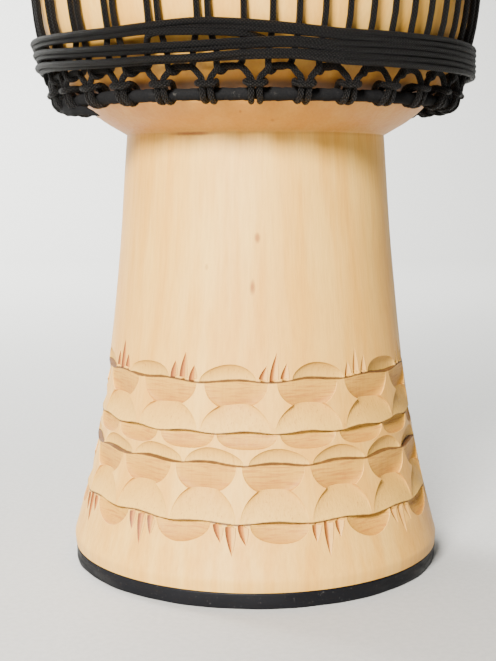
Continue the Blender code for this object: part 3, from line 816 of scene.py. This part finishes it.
STRIP_WIDTH = 0.017
STRIP_ROUND = 0.0012


def turned_piece(name, profile, columns, crease, offset):
    """A closed turned piece: a loop of (radius, height) points carried round the axis.

    The loop runs anticlockwise where the radius grows to the right. offset(angle, profile) gives
    how far each point is pushed outwards and up.
    """
    ring = np.arange(columns) * TURN / columns
    out, up = offset(ring[None, :], profile)
    points = at(ring, profile[:, 0:1] + out, profile[:, 1:2] + up)
    quads = grid_quads(np.arange(len(profile) * columns).reshape(len(profile), columns), True)
    return new_piece(name, points.reshape(-1, 3), quads[:, (0, 3, 2, 1)], crease)


def rounded_loop(corners, radius, steps):
    """A loop of (radius, height) corners, each rounded by a quadratic curve of a few steps."""
    corners = np.asarray(corners, float)
    before = np.roll(corners, 1, axis=0) - corners
    after = np.roll(corners, -1, axis=0) - corners
    start = corners + before / np.linalg.norm(before, axis=1)[:, None] * radius
    end = corners + after / np.linalg.norm(after, axis=1)[:, None] * radius
    share = np.linspace(0, 1, steps + 1)[None, :, None]
    curve = (start[:, None] * (1 - share) ** 2 + 2 * corners[:, None] * share * (1 - share)
             + end[:, None] * share ** 2)
    return curve.reshape(-1, 2)


STRIP_RADIUS, _, STRIP_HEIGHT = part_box("foot_strip")[1]


def strip_wear(ring, profile):
    """The strip bulges by a fraction of a millimetre where its nails pinch it."""
    swell = 0.00022 * np.sin(14 * ring) + 0.00012 * np.sin(31 * ring + 1.0)
    outer = profile[:, 0:1] > STRIP_RADIUS - STRIP_WIDTH / 2
    return np.where(outer, swell - 0.0003, 0), 0


strip_corners = ((STRIP_RADIUS - STRIP_WIDTH, 0.0), (STRIP_RADIUS, 0.0),
                 (STRIP_RADIUS, STRIP_HEIGHT), (STRIP_RADIUS - STRIP_WIDTH, STRIP_HEIGHT))
strip = turned_piece("rubber_strip", rounded_loop(strip_corners, STRIP_ROUND, 4), 192, 40, strip_wear)

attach(strip, "root")
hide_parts("foot_strip")
rubber, rubber_shader = new_material("black_rubber", strip)
rubber_place = object_place(rubber)
dust = stretched_noise(rubber, rubber_place, (420, 420, 420), 5.0)
scuff = stretched_noise(rubber, rubber_place, (38, 38, 160), 4.0)
rubber_colour = tinted(rubber, paint(8, 8, 12), scuff, 0.5, 0.75, 0.5, paint(15, 15, 19))
rubber_colour = tinted(rubber, rubber_colour, dust, 0.62, 0.8, 0.5, paint(112, 108, 104))
set_inputs(rubber, rubber_shader, {
    "Base Color": rubber_colour,
    "Roughness": ramp(rubber, scuff, 0.35, 0.7, 0.48, 0.74),
    "Normal": bump(rubber, dust, 0.35, 0.0003),
    "Specular IOR Level": 0.2})


# Head
# One shaved goatskin is stretched wet over the rim; its edge is rolled round a flesh ring below
# the crown ring, which pulls it down.

SKIN_THICKNESS = 0.001
COLLAR_DEPTH = 0.052
ROLL_THICKNESS = 0.007
SKIN_GAP = 0.0003
SKIN_CENTRE = 0.0008
FLAT_EDGE = 0.012
DRUM_HEIGHT = cad_bounds[1][2]


def head_profile():
    """Loop of the skin: over the head, down the collar, round the roll and back up inside."""
    low = DRUM_HEIGHT - COLLAR_DEPTH
    out = SKIN_GAP + SKIN_THICKNESS
    half = ROLL_THICKNESS / 2
    roll_height = low + half
    roll_radius = bowl_radius(roll_height) + out + half - SKIN_THICKNESS
    flat = np.linspace(SKIN_CENTRE, RIM_RADIUS - RIM_ROUND, 26)
    head = np.stack((flat, np.full(26, DRUM_HEIGHT)), axis=1)
    corner = (RIM_RADIUS + out - 0.0002, DRUM_HEIGHT)
    edge = bezier(head[-1], corner, corner, (RIM_RADIUS + out, DRUM_HEIGHT - RIM_ROUND - SKIN_THICKNESS),
                  np.linspace(0, 1, 7)[1:])
    collar_heights = np.linspace(edge[-1, 1], roll_height + half + 0.001, 16)[1:]
    collar = np.stack((bowl_radius(collar_heights) + out, collar_heights), axis=1)
    turn = np.linspace(1.9, -2.2, 14)
    roll = np.stack((roll_radius + half * np.cos(turn), roll_height + half * np.sin(turn)), axis=1)
    inner_low = np.array((bowl_radius(low) + SKIN_GAP, low))
    inner_high = np.array((RIM_RADIUS + SKIN_GAP, DRUM_HEIGHT - RIM_ROUND - SKIN_THICKNESS))
    inner = between(inner_low, inner_high, 12)
    inner_corner = (RIM_RADIUS + SKIN_GAP, DRUM_HEIGHT - SKIN_THICKNESS)
    turn_in = bezier(inner_high, inner_corner, inner_corner,
                     (RIM_RADIUS - RIM_ROUND, DRUM_HEIGHT - SKIN_THICKNESS), np.linspace(0, 1, 6))
    flat = np.linspace(RIM_RADIUS - RIM_ROUND, SKIN_CENTRE, 14)[1:]
    under = np.stack((flat, np.full(13, DRUM_HEIGHT - SKIN_THICKNESS)), axis=1)
    return np.concatenate((head, edge, collar, roll, inner, turn_in, under))[::-1]


def skin_folds(ring, profile):
    """Puckers of the collar, strongest at the roll and gone at the rim; the head stays flat."""
    drop = climb_from(profile[:, 1:2], DRUM_HEIGHT - FLAT_EDGE, DRUM_HEIGHT - COLLAR_DEPTH)
    outer = profile[:, 0:1] > bowl_radius(profile[:, 1:2]) + SKIN_GAP + 0.0005
    fold = (np.sin(30 * ring) * 0.5 + np.sin(47 * ring + 1.7) * 0.35 + np.sin(83 * ring + 0.6) * 0.3
            + np.sin(19 * ring + 2.9) * 0.4)
    push = 0.00045 * drop ** 1.5 * (fold + 0.9) * outer
    return push, 0.0006 * drop ** 3 * np.sin(23 * ring + 0.8) * outer


head = turned_piece("goatskin_head", head_profile(), 256, 50, skin_folds)

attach(head, "root")
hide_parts("head_skin")
skin, skin_shader = new_material("shaved_goatskin", head)
skin_place = object_place(skin)
blotch = stretched_noise(skin, skin_place, (16, 16, 16), 5.0, 0.62)
pores = stretched_noise(skin, skin_place, (900, 900, 900), 3.0)
spine = add_node(skin, "ShaderNodeSeparateXYZ", {0: skin_place}).outputs["X"]
spine_wander = stretched_noise(skin, skin_place, (22, 14, 14), 3.0)
spine_gap = maths(skin, "ADD", spine, maths(skin, "MULTIPLY_ADD", spine_wander, 0.05, -0.025))
spine_gap = maths(skin, "ABSOLUTE", spine_gap)
skin_colour = mix(skin, ramp(skin, blotch, 0.35, 0.68), paint(226, 208, 174), paint(205, 178, 136))
skin_colour = mix(skin, ramp(skin, spine_gap, 0.004, 0.030, 0.55, 0.0), skin_colour, paint(150, 112, 76))
skin_colour = tinted(skin, skin_colour, pores, 0.5, 0.75, 0.35, paint(146, 116, 84))
set_inputs(skin, skin_shader, {
    "Base Color": skin_colour,
    "Roughness": ramp(skin, blotch, 0.3, 0.7, 0.5, 0.66),
    "Normal": bump(skin, pores, 0.3, 0.0003),
    "Subsurface Weight": 0.06,
    "Subsurface Radius": (0.004, 0.002, 0.001)})


# Rings
# Each ring is a 6 mm steel rod bent to a circle, welded, and wound tightly with a strip of black
# cloth, whose turns overlap.

RING_THICKNESS = 0.0078
KNOT_PINCH = 0.0009
WINDINGS = 84
WINDING_RELIEF = 0.0004
BOTTOM_RING = np.array((0.1272, 0.3062))
CROWN_RING = np.array((0.1629, 0.5647))


def wrapped_ring(name, centre, windings, knot_angle, tail=None):
    """A torus whose tube swells in slanting overlapping turns: a saw-tooth of both its angles."""
    columns, sides = 1008, 16
    ring = np.arange(columns)[:, None] * TURN / columns
    tube = np.arange(sides)[None, :] * TURN / sides
    wind = (windings * ring / TURN + tube / TURN + 0.15 * np.sin(5 * ring)) % 1
    swell = WINDING_RELIEF * (1 - wind) * np.clip(wind / 0.12, 0, 1)
    slow = 0.00018 * np.sin(9 * ring + 1.0) + 0.00012 * np.sin(23 * ring)
    knots = np.clip(np.cos(30 * (ring - knot_angle)), 0, 1) ** 6
    thick = RING_THICKNESS / 2 - WINDING_RELIEF + swell + slow - KNOT_PINCH * knots
    points = at(ring, centre[0] + thick * np.cos(tube), centre[1] + thick * np.sin(tube)).reshape(-1, 3)
    faces = halves(grid_quads(np.arange(columns * sides).reshape(columns, sides), True))
    if tail is not None:
        tail_points, tail_faces = tapered_tail(tail, len(points))
        points = np.concatenate((points, tail_points))
        faces = np.concatenate((faces, tail_faces))
    return new_piece(name, points, faces, 35)


def halves(quads):
    """Quads, or what is stored for their corners, cut along the same diagonal into triangles."""
    return np.concatenate((quads[:, (0, 1, 2)], quads[:, (0, 2, 3)]))


def end_caps(number, first):
    """Triangles from a tube's first and last ring to two more points, numbered from first."""
    low, high = number[0], number[-1]
    return np.concatenate((np.stack((low, np.roll(low, -1), np.full(len(low), first)), axis=1),
                           np.stack((np.roll(high, -1), high, np.full(len(low), first + 1)), axis=1)))


def tapered_tail(stations, first):
    """The loose end of the cloth: a flattened tube through (degrees, radius, height, half width)."""
    rows = np.array(stations)
    share = np.linspace(0, len(rows) - 1, 40)
    angle, radius, height, half = (np.interp(share, np.arange(len(rows)), column) for column in rows.T)
    half = half * (1 + 0.10 * np.sin(2.6 * share + 1.0) + 0.06 * np.sin(7 * share))
    tube = np.arange(TAIL_SIDES)[None, :] * TURN / TAIL_SIDES
    out = (radius[:, None] + TAIL_FLATNESS * half[:, None] * np.cos(tube)) / 1000
    up = (height[:, None] + half[:, None] * np.sin(tube)) / 1000
    points = at(np.radians(angle)[:, None], out, up)
    number = first + np.arange(len(points) * TAIL_SIDES).reshape(-1, TAIL_SIDES)
    faces = np.concatenate((halves(grid_quads(number, False)), end_caps(number, number[-1, -1] + 1)))
    return np.concatenate((points.reshape(-1, 3), points[(0, -1), :].mean(axis=1))), faces


# The wrap of the bottom ring ends on the left in a frayed point: degrees from the front, then
# radius, height and half width in millimetres.
TAIL_SIDES = 12
TAIL_FLATNESS = 0.62
TAIL = (
    (-84, 128.0, 304.5, 1.2), (-78, 128.6, 303.0, 3.2), (-68, 128.8, 301.4, 4.0), (-60, 128.4, 300.4, 3.7),
    (-54, 127.6, 299.2, 2.6), (-50.5, 126.6, 297.2, 1.1), (-48.5, 126.0, 296.0, 0.25))

bottom_ring = wrapped_ring("bottom_cloth_ring", BOTTOM_RING, WINDINGS, 0.0, TAIL)
crown_ring = wrapped_ring("crown_cloth_ring", CROWN_RING, round(WINDINGS * 1.28), math.pi / 30)

weave_group, weave_in, weave_out = new_group(
    "cloth_weave", (("Place", "NodeSocketVector", None), ("Threads", "NodeSocketFloat", 1500.0)),
    (("Weave", "NodeSocketFloat"), ("Lint", "NodeSocketFloat")))
scaled_place = vector_maths(weave_group, "SCALE", weave_in["Place"], weave_in["Threads"])
set_inputs(weave_group, weave_out, {
    "Weave": stretched_noise(weave_group, scaled_place, (1.0, 1.0, 0.6), 2.0),
    "Lint": stretched_noise(weave_group, scaled_place, (0.13, 0.13, 0.13), 5.0, 0.75)})

for ring_piece, node_name in ((bottom_ring, "bottom_ring"), (crown_ring, "crown_ring")):
    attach(ring_piece, "root")
    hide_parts(node_name)
cloth, cloth_shader = new_material("black_cotton_wrap", bottom_ring)
crown_ring.data.materials.append(bpy.data.materials["black_cotton_wrap"])
weave = place_group(cloth, weave_group, {"Place": object_place(cloth)})
cloth_colour = mix(cloth, ramp(cloth, weave["Weave"], 0.35, 0.65), paint(9, 9, 10), paint(18, 17, 17))
cloth_colour = tinted(cloth, cloth_colour, weave["Lint"], 0.60, 0.74, 0.5, paint(92, 88, 82))
set_inputs(cloth, cloth_shader, {
    "Base Color": cloth_colour,
    "Roughness": 0.86,
    "Normal": bump(cloth, weave["Weave"], 0.5, 0.0004),
    "Specular IOR Level": 0.14})


# Rope
# All the rope is one kind: a black braided polyester cord of about 4 mm. Two closed lengths hang
# from the rings in cow hitches and make their loops; one long length is laced between the loops,
# and what is left of it is wound round the drum.

ROPE_RADIUS = 0.0019
ROPE_SIDES = 8
FINE_STEP = 0.0013
COARSE_STEP = 0.009
STEP_SHARE = 0.42
LOOP_COUNT = 30
LOOP_STEP = TURN / LOOP_COUNT


def smooth_path(points, closed):
    """A Catmull-Rom curve through uneven points, cut into steps that are short where it bends.

    Knots are spaced by the square root of the distances, so that short and long spans both keep
    their shape. The step is a share of the bend's radius, between the fine and the coarse step.
    """
    if closed:
        ring = np.concatenate((points[-1:], points, points[:2]))
    else:
        ring = np.concatenate((2 * points[:1] - points[1:2], points, 2 * points[-1:] - points[-2:-1]))
    knots = np.sqrt(np.linalg.norm(np.diff(ring, axis=0), axis=1))[:, None]
    before, span, after = knots[:-2], knots[1:-1], knots[2:]
    p0, p1, p2, p3 = ring[:-3], ring[1:-2], ring[2:-1], ring[3:]
    leave = ((p1 - p0) / before - (p2 - p0) / (before + span) + (p2 - p1) / span) * span
    arrive = ((p2 - p1) / span - (p3 - p1) / (span + after) + (p3 - p2) / after) * span
    share = np.linspace(0, 1, 25)[:-1, None, None]
    curve = ((2 * share ** 3 - 3 * share ** 2 + 1) * p1 + (share ** 3 - 2 * share ** 2 + share) * leave
             + (3 * share ** 2 - 2 * share ** 3) * p2 + (share ** 3 - share ** 2) * arrive)
    curve = curve.transpose(1, 0, 2).reshape(-1, 3)
    curve = np.concatenate((curve, points[:1] if closed else points[-1:]))
    step = np.linalg.norm(np.diff(curve, axis=0), axis=1)
    length = np.concatenate(((0,), np.cumsum(step)))
    heading = np.diff(curve, axis=0) / np.maximum(step, 1e-9)[:, None]
    bend = np.linalg.norm(np.diff(heading, axis=0), axis=1) / np.maximum(step[1:], 1e-9)
    bend = np.concatenate((bend[:1], bend, bend[-1:]))
    bend = np.maximum(np.maximum(bend, np.roll(bend, 6)), np.roll(bend, -6))
    density = 1 / np.clip(STEP_SHARE / np.maximum(bend, TINY), FINE_STEP, COARSE_STEP)
    density = np.convolve(density, np.ones(9) / 9, "same")
    effort = np.concatenate(((0,), np.cumsum((density[1:] + density[:-1]) / 2 * step)))
    wanted = np.linspace(0, effort[-1], round(effort[-1]) + 1)
    if closed:
        wanted = wanted[:-1]
    distance = np.interp(wanted, effort, length)
    path = np.stack([np.interp(distance, length, curve[:, axis]) for axis in range(3)], axis=1)
    return path, distance, length[-1]


def rope_piece(name, points, closed):
    """A rope: a round section carried along its path, with the path's length in its UV map.

    The section is set out from a direction half way between outwards and round the drum, which
    no stretch of these ropes runs along, so it never flips.
    """
    path, distance, total = smooth_path(points, closed)
    if closed:
        heading = np.roll(path, -1, axis=0) - np.roll(path, 1, axis=0)
    else:
        heading = np.gradient(path, axis=0)
    heading /= np.linalg.norm(heading, axis=1)[:, None]
    outwards = path * (1, 1, 0) / np.linalg.norm(path[:, :2], axis=1)[:, None]
    round_drum = np.stack((-outwards[:, 1], outwards[:, 0], 0 * outwards[:, 0]), axis=1)
    side = np.cross(heading, outwards + round_drum)
    side /= np.linalg.norm(side, axis=1)[:, None]
    other = np.cross(side, heading)
    turns = np.arange(ROPE_SIDES)[:, None] * TURN / ROPE_SIDES
    section = (side[:, None] * np.cos(turns) + other[:, None] * np.sin(turns)) * ROPE_RADIUS
    points = (path[:, None] + section).reshape(-1, 3)
    number = np.arange(len(points)).reshape(-1, ROPE_SIDES)
    faces = halves(grid_quads(number, closed))
    rows = len(path) if closed else len(path) - 1
    around = np.broadcast_to(np.arange(ROPE_SIDES), (rows, ROPE_SIDES))
    start = np.broadcast_to(distance[:rows, None], around.shape)
    end = np.broadcast_to(np.append(distance[1:], total)[:rows, None], around.shape)
    u = np.stack((around, around, around + 1, around + 1), axis=2) / ROPE_SIDES
    v = np.stack((start, end, end, start), axis=2)
    uv = halves(np.stack((u, v), axis=3).reshape(-1, 4, 2)).reshape(-1, 2)
    if not closed:
        faces = np.concatenate((faces, end_caps(number, len(points))))
        uv = np.concatenate((uv, np.zeros((6 * ROPE_SIDES, 2))))
        reach = heading * ROPE_RADIUS / 2
        points = np.concatenate((points, path[:1] - reach[:1], path[-1:] + reach[-1:]))
    piece = new_piece(name, points, faces)
    layer = piece.data.uv_layers.new(name="along_rope")
    layer.data.foreach_set("uv", np.asarray(uv, np.float32).ravel())
    return piece


# Half a hitch in millimetres: along the ring, outwards and away from it, from its middle for the
# turn on the left, down the leg, round the ring from the front and out to the bar across the knot.
HALF_HITCH = np.array((
    (-7.6, 8.4, 14.6), (-5.2, 8.7, 11.9), (-2.5, 8.3, 8.6), (-1.9, 7.4, 4.4), (-2.2, 6.1, -0.6),
    (-2.4, 3.0, -3.4), (-2.4, -2.6, -3.7), (-2.5, -5.6, -0.4), (-3.1, -4.0, 4.6), (-4.4, 1.4, 7.0),
    (-5.2, 6.4, 6.4), (-3.4, 9.3, 5.4), (0.0, 9.8, 5.2))) / 1000
CROWN_LOOP = np.array((1.0, 0.77, 1.35))


def hitch_loops(ring, side, phase, seed, stretch):
    """A closed rope that makes a hitch at each step round a ring; side is 1 for loops above it."""
    draw = np.random.default_rng(seed)
    half = HALF_HITCH.copy()
    half[:2] *= stretch
    hitch = np.concatenate((half, half[-2::-1] * (-1, 1, 1)))
    knots = phase + np.arange(LOOP_COUNT)[:, None] * LOOP_STEP
    shape = np.repeat(hitch[None], LOOP_COUNT, axis=0)
    shape[:, 1:-1] += draw.uniform(-0.0003, 0.0003, shape[:, 1:-1].shape)
    shape[:, :, 2] *= 1 + draw.uniform(-0.02, 0.03, (LOOP_COUNT, 1))
    angle = knots + shape[:, :, 0] / ring[0]
    return at(angle, ring[0] + shape[:, :, 1], ring[1] + side * shape[:, :, 2]).reshape(-1, 3)


bottom_loops = rope_piece("bottom_hitches", hitch_loops(BOTTOM_RING, 1, 0.0, 31, 1.0), True)
crown_loops = rope_piece("crown_hitches", hitch_loops(CROWN_RING, -1, LOOP_STEP / 2, 32, CROWN_LOOP), True)


# Lacing
# One length of the same cord is threaded through every loop, up and down between the rings, and
# hauled tight. Its last metres are wound six times round the drum and the end is tucked away.

# Half way round one lower bar and one crown bar, in millimetres: along, radius and height.
LOWER_TURN = np.array((
    (-7.3, 139.2, 330.0), (-7.5, 138.8, 324.6), (-6.8, 136.9, 318.8), (-4.8, 133.4, 318.4),
    (-2.4, 131.6, 320.9), (2.2, 131.4, 321.3), (5.8, 132.4, 323.0), (7.3, 136.6, 329.0))) / 1000
CROWN_TURN = np.array((
    (-8.8, 170.6, 538.0), (-8.9, 172.3, 542.6), (-7.6, 171.2, 546.7), (-5.0, 168.4, 547.7),
    (-2.2, 165.7, 546.4), (2.2, 165.4, 545.4), (6.2, 165.7, 543.2), (8.8, 168.0, 538.0))) / 1000
RISE = np.array(((139.6, 335.0), (140.2, 341.5), (142.3, 349.0), (144.4, 361.7), (145.9, 376.0))) / 1000
PAIR_PULL = 0.58
RIGHT_LEAN = math.radians(0.9)

# Heights of the six turns in millimetres, at the degrees from the front where they shift.
TURN_DEGREES = (-150, -75, -40, -11, 5, 21, 150)
TURN_HEIGHTS = np.array((
    (340.0, 336.7, 333.4, 330.1, 326.8, 323.5),
    (344.2, 341.4, 337.0, 334.2, 328.9, 326.4),
    (342.0, 339.3, 332.2, 330.0, 324.8, 323.4),
    (345.6, 342.3, 332.6, 330.4, 325.6, 324.6),
    (343.0, 340.2, 335.4, 332.8, 329.0, 327.0),
    (340.1, 336.8, 333.5, 330.2, 326.8, 323.4),
    (340.0, 336.7, 333.4, 330.1, 326.8, 323.5))) / 1000
TURN_RADIUS = 0.1438
PAIR_OFFSET = np.array((0.0006, 0.0006, 0.0008, 0.0008, 0.0014, 0.0014))
BAND_BULGE = np.array((2.4, 2.4, 0.3, 0.3, -1.3, -1.3)) / 1000


def rise_angles(angle):
    """Where a length stands on its way up: drawn to its neighbour's side of a knot on the left."""
    degrees = np.degrees(one_turn(angle))
    knot = np.round(angle / LOOP_STEP) * LOOP_STEP
    left = climb_from(degrees, -4, -7) * climb_from(degrees, -150, -120)
    right = climb_from(degrees, -5, 0) * climb_from(degrees, 100, 80)
    pulled = (knot - angle) * PAIR_PULL * left + RIGHT_LEAN * right
    return angle[:, None] + pulled[:, None] * (0.45, 0.85, 1.0, 0.97, 0.92)


def spare_turns():
    """Points of the six turns round the bowl, from the highest down; they bulge over each other."""
    draw = np.random.default_rng(33)
    degrees = np.linspace(-156, 196, 33)
    left = climb_from(degrees, 10, -10)
    bulge = climb_from(np.abs(degrees + 85), 45, 0)
    sink = 0.0033 * climb_from(degrees, 150, 210)
    rounds = []
    for index in range(6):
        height = np.interp(degrees, TURN_DEGREES, TURN_HEIGHTS[:, index]) - sink
        radius = TURN_RADIUS + PAIR_OFFSET[index] * (-1) ** index * left + BAND_BULGE[index] * bulge
        radius = radius + draw.uniform(-0.0002, 0.0002, len(degrees))
        height = height + draw.uniform(-0.0002, 0.0002, len(degrees))
        rounds.append(at(np.radians(degrees), radius, height))
    return np.concatenate(rounds)


def round_bar(bar, turn):
    """Points of the rope's way round a bar at an angle, from (along, radius, height) points."""
    return at(bar + turn[:, 0] / turn[:, 1], turn[:, 1], turn[:, 2])


def millimetre_path(stations):
    """Points from (degrees from the front, radius and height in millimetres)."""
    degrees, radius, height = np.transpose(stations)
    return at(np.radians(degrees), radius / 1000, height / 1000)


def lacing_path():
    """Points of the whole rope, from its tucked start at the crown to its tucked end in front."""
    bars = math.pi + (np.arange(LOOP_COUNT) + 0.5) * LOOP_STEP
    quarter = LOOP_STEP / 4
    lower = round_bar(bars[:, None], LOWER_TURN)
    up = at(rise_angles(bars + quarter), RISE[:, 0], RISE[:, 1])
    crown = round_bar(bars[:, None] + LOOP_STEP / 2, CROWN_TURN)
    down = at(rise_angles(bars + 3 * quarter), RISE[:, 0], RISE[:, 1])[:, ::-1]
    zigzag = np.concatenate((lower, up, crown, down), axis=1).reshape(-1, 3)[:-len(RISE) - 4]
    start = round_bar(math.pi, CROWN_TURN[4:])
    start_down = at(rise_angles(np.array((math.pi + quarter,))), RISE[:, 0], RISE[:, 1])[0, ::-1]
    over = at(math.pi + np.array((-0.002, 0.012)), np.array((0.1664, 0.1672)), np.array((0.5485, 0.5425)))
    last_down = at(math.pi + math.radians(1.3), RISE[2:, 0], RISE[2:, 1])[::-1]
    lead = millimetre_path(((-176.8, 143.0, 349.5), (-172, 143.6, 345.2), (-166, 143.8, 343.2)))
    tucked_end = millimetre_path((
        (-160, 139.5, 322.5), (-150, 134.8, 325.5), (-120, 134.6, 331.0), (-90, 134.6, 331.5),
        (-60, 134.6, 331.5), (-40, 134.6, 331.5), (-29, 135.2, 332.0), (-26.7, 137.6, 334.2),
        (-25.4, 142.0, 337.6), (-23.5, 144.2, 339.4), (-17, 144.3, 339.5), (-9, 144.2, 338.9),
        (-3, 143.4, 338.0), (0.6, 139.0, 337.0), (2, 136.6, 336.0)))
    return np.concatenate((start, start_down, zigzag, over, last_down, lead, spare_turns(), tucked_end))


lacing = rope_piece("rope_lacing", lacing_path(), False)

# The cord is braided from twelve strands: in its UV map they are two crossing sets of six ridges.
STRAND_RIDGES = 6
BRAID_PITCH = 0.0022
braid_group, braid_in, braid_out = new_group(
    "round_braid", (("Round", "NodeSocketFloat", 0.0), ("Along", "NodeSocketFloat", 0.0)),
    (("Relief", "NodeSocketFloat"), ("Shaded_gap", "NodeSocketFloat")))
ridge_share = maths(braid_group, "MULTIPLY", braid_in["Round"], STRAND_RIDGES)
pitch_share = maths(braid_group, "DIVIDE", braid_in["Along"], BRAID_PITCH)
relief = 1.0
for crossing in ("ADD", "SUBTRACT"):
    phase = maths(braid_group, crossing, pitch_share, ridge_share)
    ridges = maths(braid_group, "SINE", maths(braid_group, "MULTIPLY", phase, math.pi))
    relief = maths(braid_group, "MULTIPLY", relief, maths(braid_group, "ABSOLUTE", ridges))
set_inputs(braid_group, braid_out, {
    "Relief": maths(braid_group, "POWER", relief, 0.5),
    "Shaded_gap": ramp(braid_group, relief, 0.22, 0.72, 1.0, 0.0)})

for rope_part, node_name in ((bottom_loops, "bottom_loops"), (crown_loops, "crown_loops"),
                             (lacing, "tension_rope")):
    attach(rope_part, "root")
    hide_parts(node_name)
cord, cord_shader = new_material("black_braided_cord", lacing)
for rope_part in (bottom_loops, crown_loops):
    rope_part.data.materials.append(bpy.data.materials["black_braided_cord"])
cord_uv = add_node(cord, "ShaderNodeUVMap", uv_map="along_rope").outputs[0]
cord_split = add_node(cord, "ShaderNodeSeparateXYZ", {0: cord_uv}).outputs
braid = place_group(cord, braid_group, {"Round": cord_split["X"], "Along": cord_split["Y"]})
lint = place_group(cord, weave_group, {"Place": object_place(cord), "Threads": 1700.0})
# Painted shade: the gaps between the braid's strands are nearly black.
cord_colour = mix(cord, braid["Shaded_gap"], paint(31, 29, 27), paint(1, 1, 2))
cord_colour = tinted(cord, cord_colour, lint["Lint"], 0.66, 0.8, 0.4, paint(96, 90, 82))
set_inputs(cord, cord_shader, {
    "Base Color": cord_colour,
    "Roughness": 0.5,
    "Normal": bump(cord, braid["Relief"], 1.0, 0.0016),
    "Specular IOR Level": 0.16})


# Setting
# The drum stands on a plain pale floor that curves up into a white wall, in soft light from the
# front and above, a little stronger from the left. The camera is placed as in the photograph.

WALL_DISTANCE = 3.6
WALL_CURVE = 0.9
WALL_HEIGHT = 4.5
FLOOR_REACH = 14.0
turn_up = np.linspace(0, math.pi / 2, 13)[1:]
floor_end = WALL_DISTANCE - WALL_CURVE
curve = np.stack((floor_end + WALL_CURVE * np.sin(turn_up), WALL_CURVE * (1 - np.cos(turn_up))), axis=1)
level = ((-FLOOR_REACH, 0), (0, 0), (floor_end, 0))
floor_steps = np.concatenate((level, curve, ((WALL_DISTANCE, WALL_HEIGHT),)))
across = np.array((-FLOOR_REACH, FLOOR_REACH))
floor_points = np.stack(np.broadcast_arrays(across, floor_steps[:, 0:1], floor_steps[:, 1:2]), axis=2)
row = np.arange(len(floor_steps) - 1) * 2
floor_faces = np.stack((row, row + 1, row + 3, row + 2), axis=1)
floor = new_piece("floor_and_wall", floor_points.reshape(-1, 3), floor_faces)
floor_material = bpy.data.materials.new("pale_backdrop")
floor_material.use_nodes = True
floor.data.materials.append(floor_material)
floor_tree = floor_material.node_tree
floor_noise = stretched_noise(floor_tree, object_place(floor_tree), (240, 240, 240), 3.0)
floor_noise = ramp(floor_tree, floor_noise, 0.3, 0.7)
set_inputs(floor_tree, floor_tree.nodes["Principled BSDF"], {
    "Base Color": mix(floor_tree, floor_noise, paint(172, 171, 167), paint(179, 178, 174)),
    "Roughness": 0.8})


def soft_light(name, place, target, size, power, colour):
    """A large area light that points at a target."""
    light = bpy.data.lights.new(name, "AREA")
    light.shape = "RECTANGLE"
    light.size, light.size_y = size
    light.energy = power
    light.color = colour
    lamp = bpy.data.objects.new(name, light)
    bpy.context.scene.collection.objects.link(lamp)
    lamp.location = place
    lamp.rotation_euler = (Vector(target) - Vector(place)).to_track_quat("-Z", "Y").to_euler()


soft_light("front_softbox", (-0.66, -1.9, 1.34), (0, 0, 0.25), (0.6, 0.5), 214, (1.0, 0.985, 0.955))
soft_light("left_softbox", (-1.6, -0.9, 0.7), (0, 0, 0.22), (0.7, 1.2), 5, (1.0, 0.98, 0.95))
soft_light("overhead_softbox", (0.0, -0.2, 2.1), (0, 0, 0.1), (1.6, 1.6), 12, (1.0, 1.0, 1.0))
soft_light("wall_wash", (-1.6, 1.6, 2.6), (-0.9, 3.6, 0.9), (2.6, 1.0), 700, (0.97, 0.99, 1.0))

world = bpy.data.worlds.new("soft_room")
world.use_nodes = True
bpy.context.scene.world = world
background = world.node_tree.nodes["Background"]
set_inputs(world.node_tree, background, {"Color": (0.95, 0.97, 1.0, 1.0), "Strength": 0.13})

CAMERA_DISTANCE = 0.821
CAMERA_HEIGHT = 0.2625
CAMERA_DIP = math.radians(7.55)
camera = bpy.data.cameras.new("photo_camera")
camera.lens = 65.35
camera.sensor_width = 36
camera.shift_x = -0.0115
viewer = bpy.data.objects.new("photo_camera", camera)
bpy.context.scene.collection.objects.link(viewer)
viewer.location = (0, -CAMERA_DISTANCE, CAMERA_HEIGHT)
viewer.rotation_euler = (math.pi / 2 - CAMERA_DIP, 0, 0)
bpy.context.scene.camera = viewer
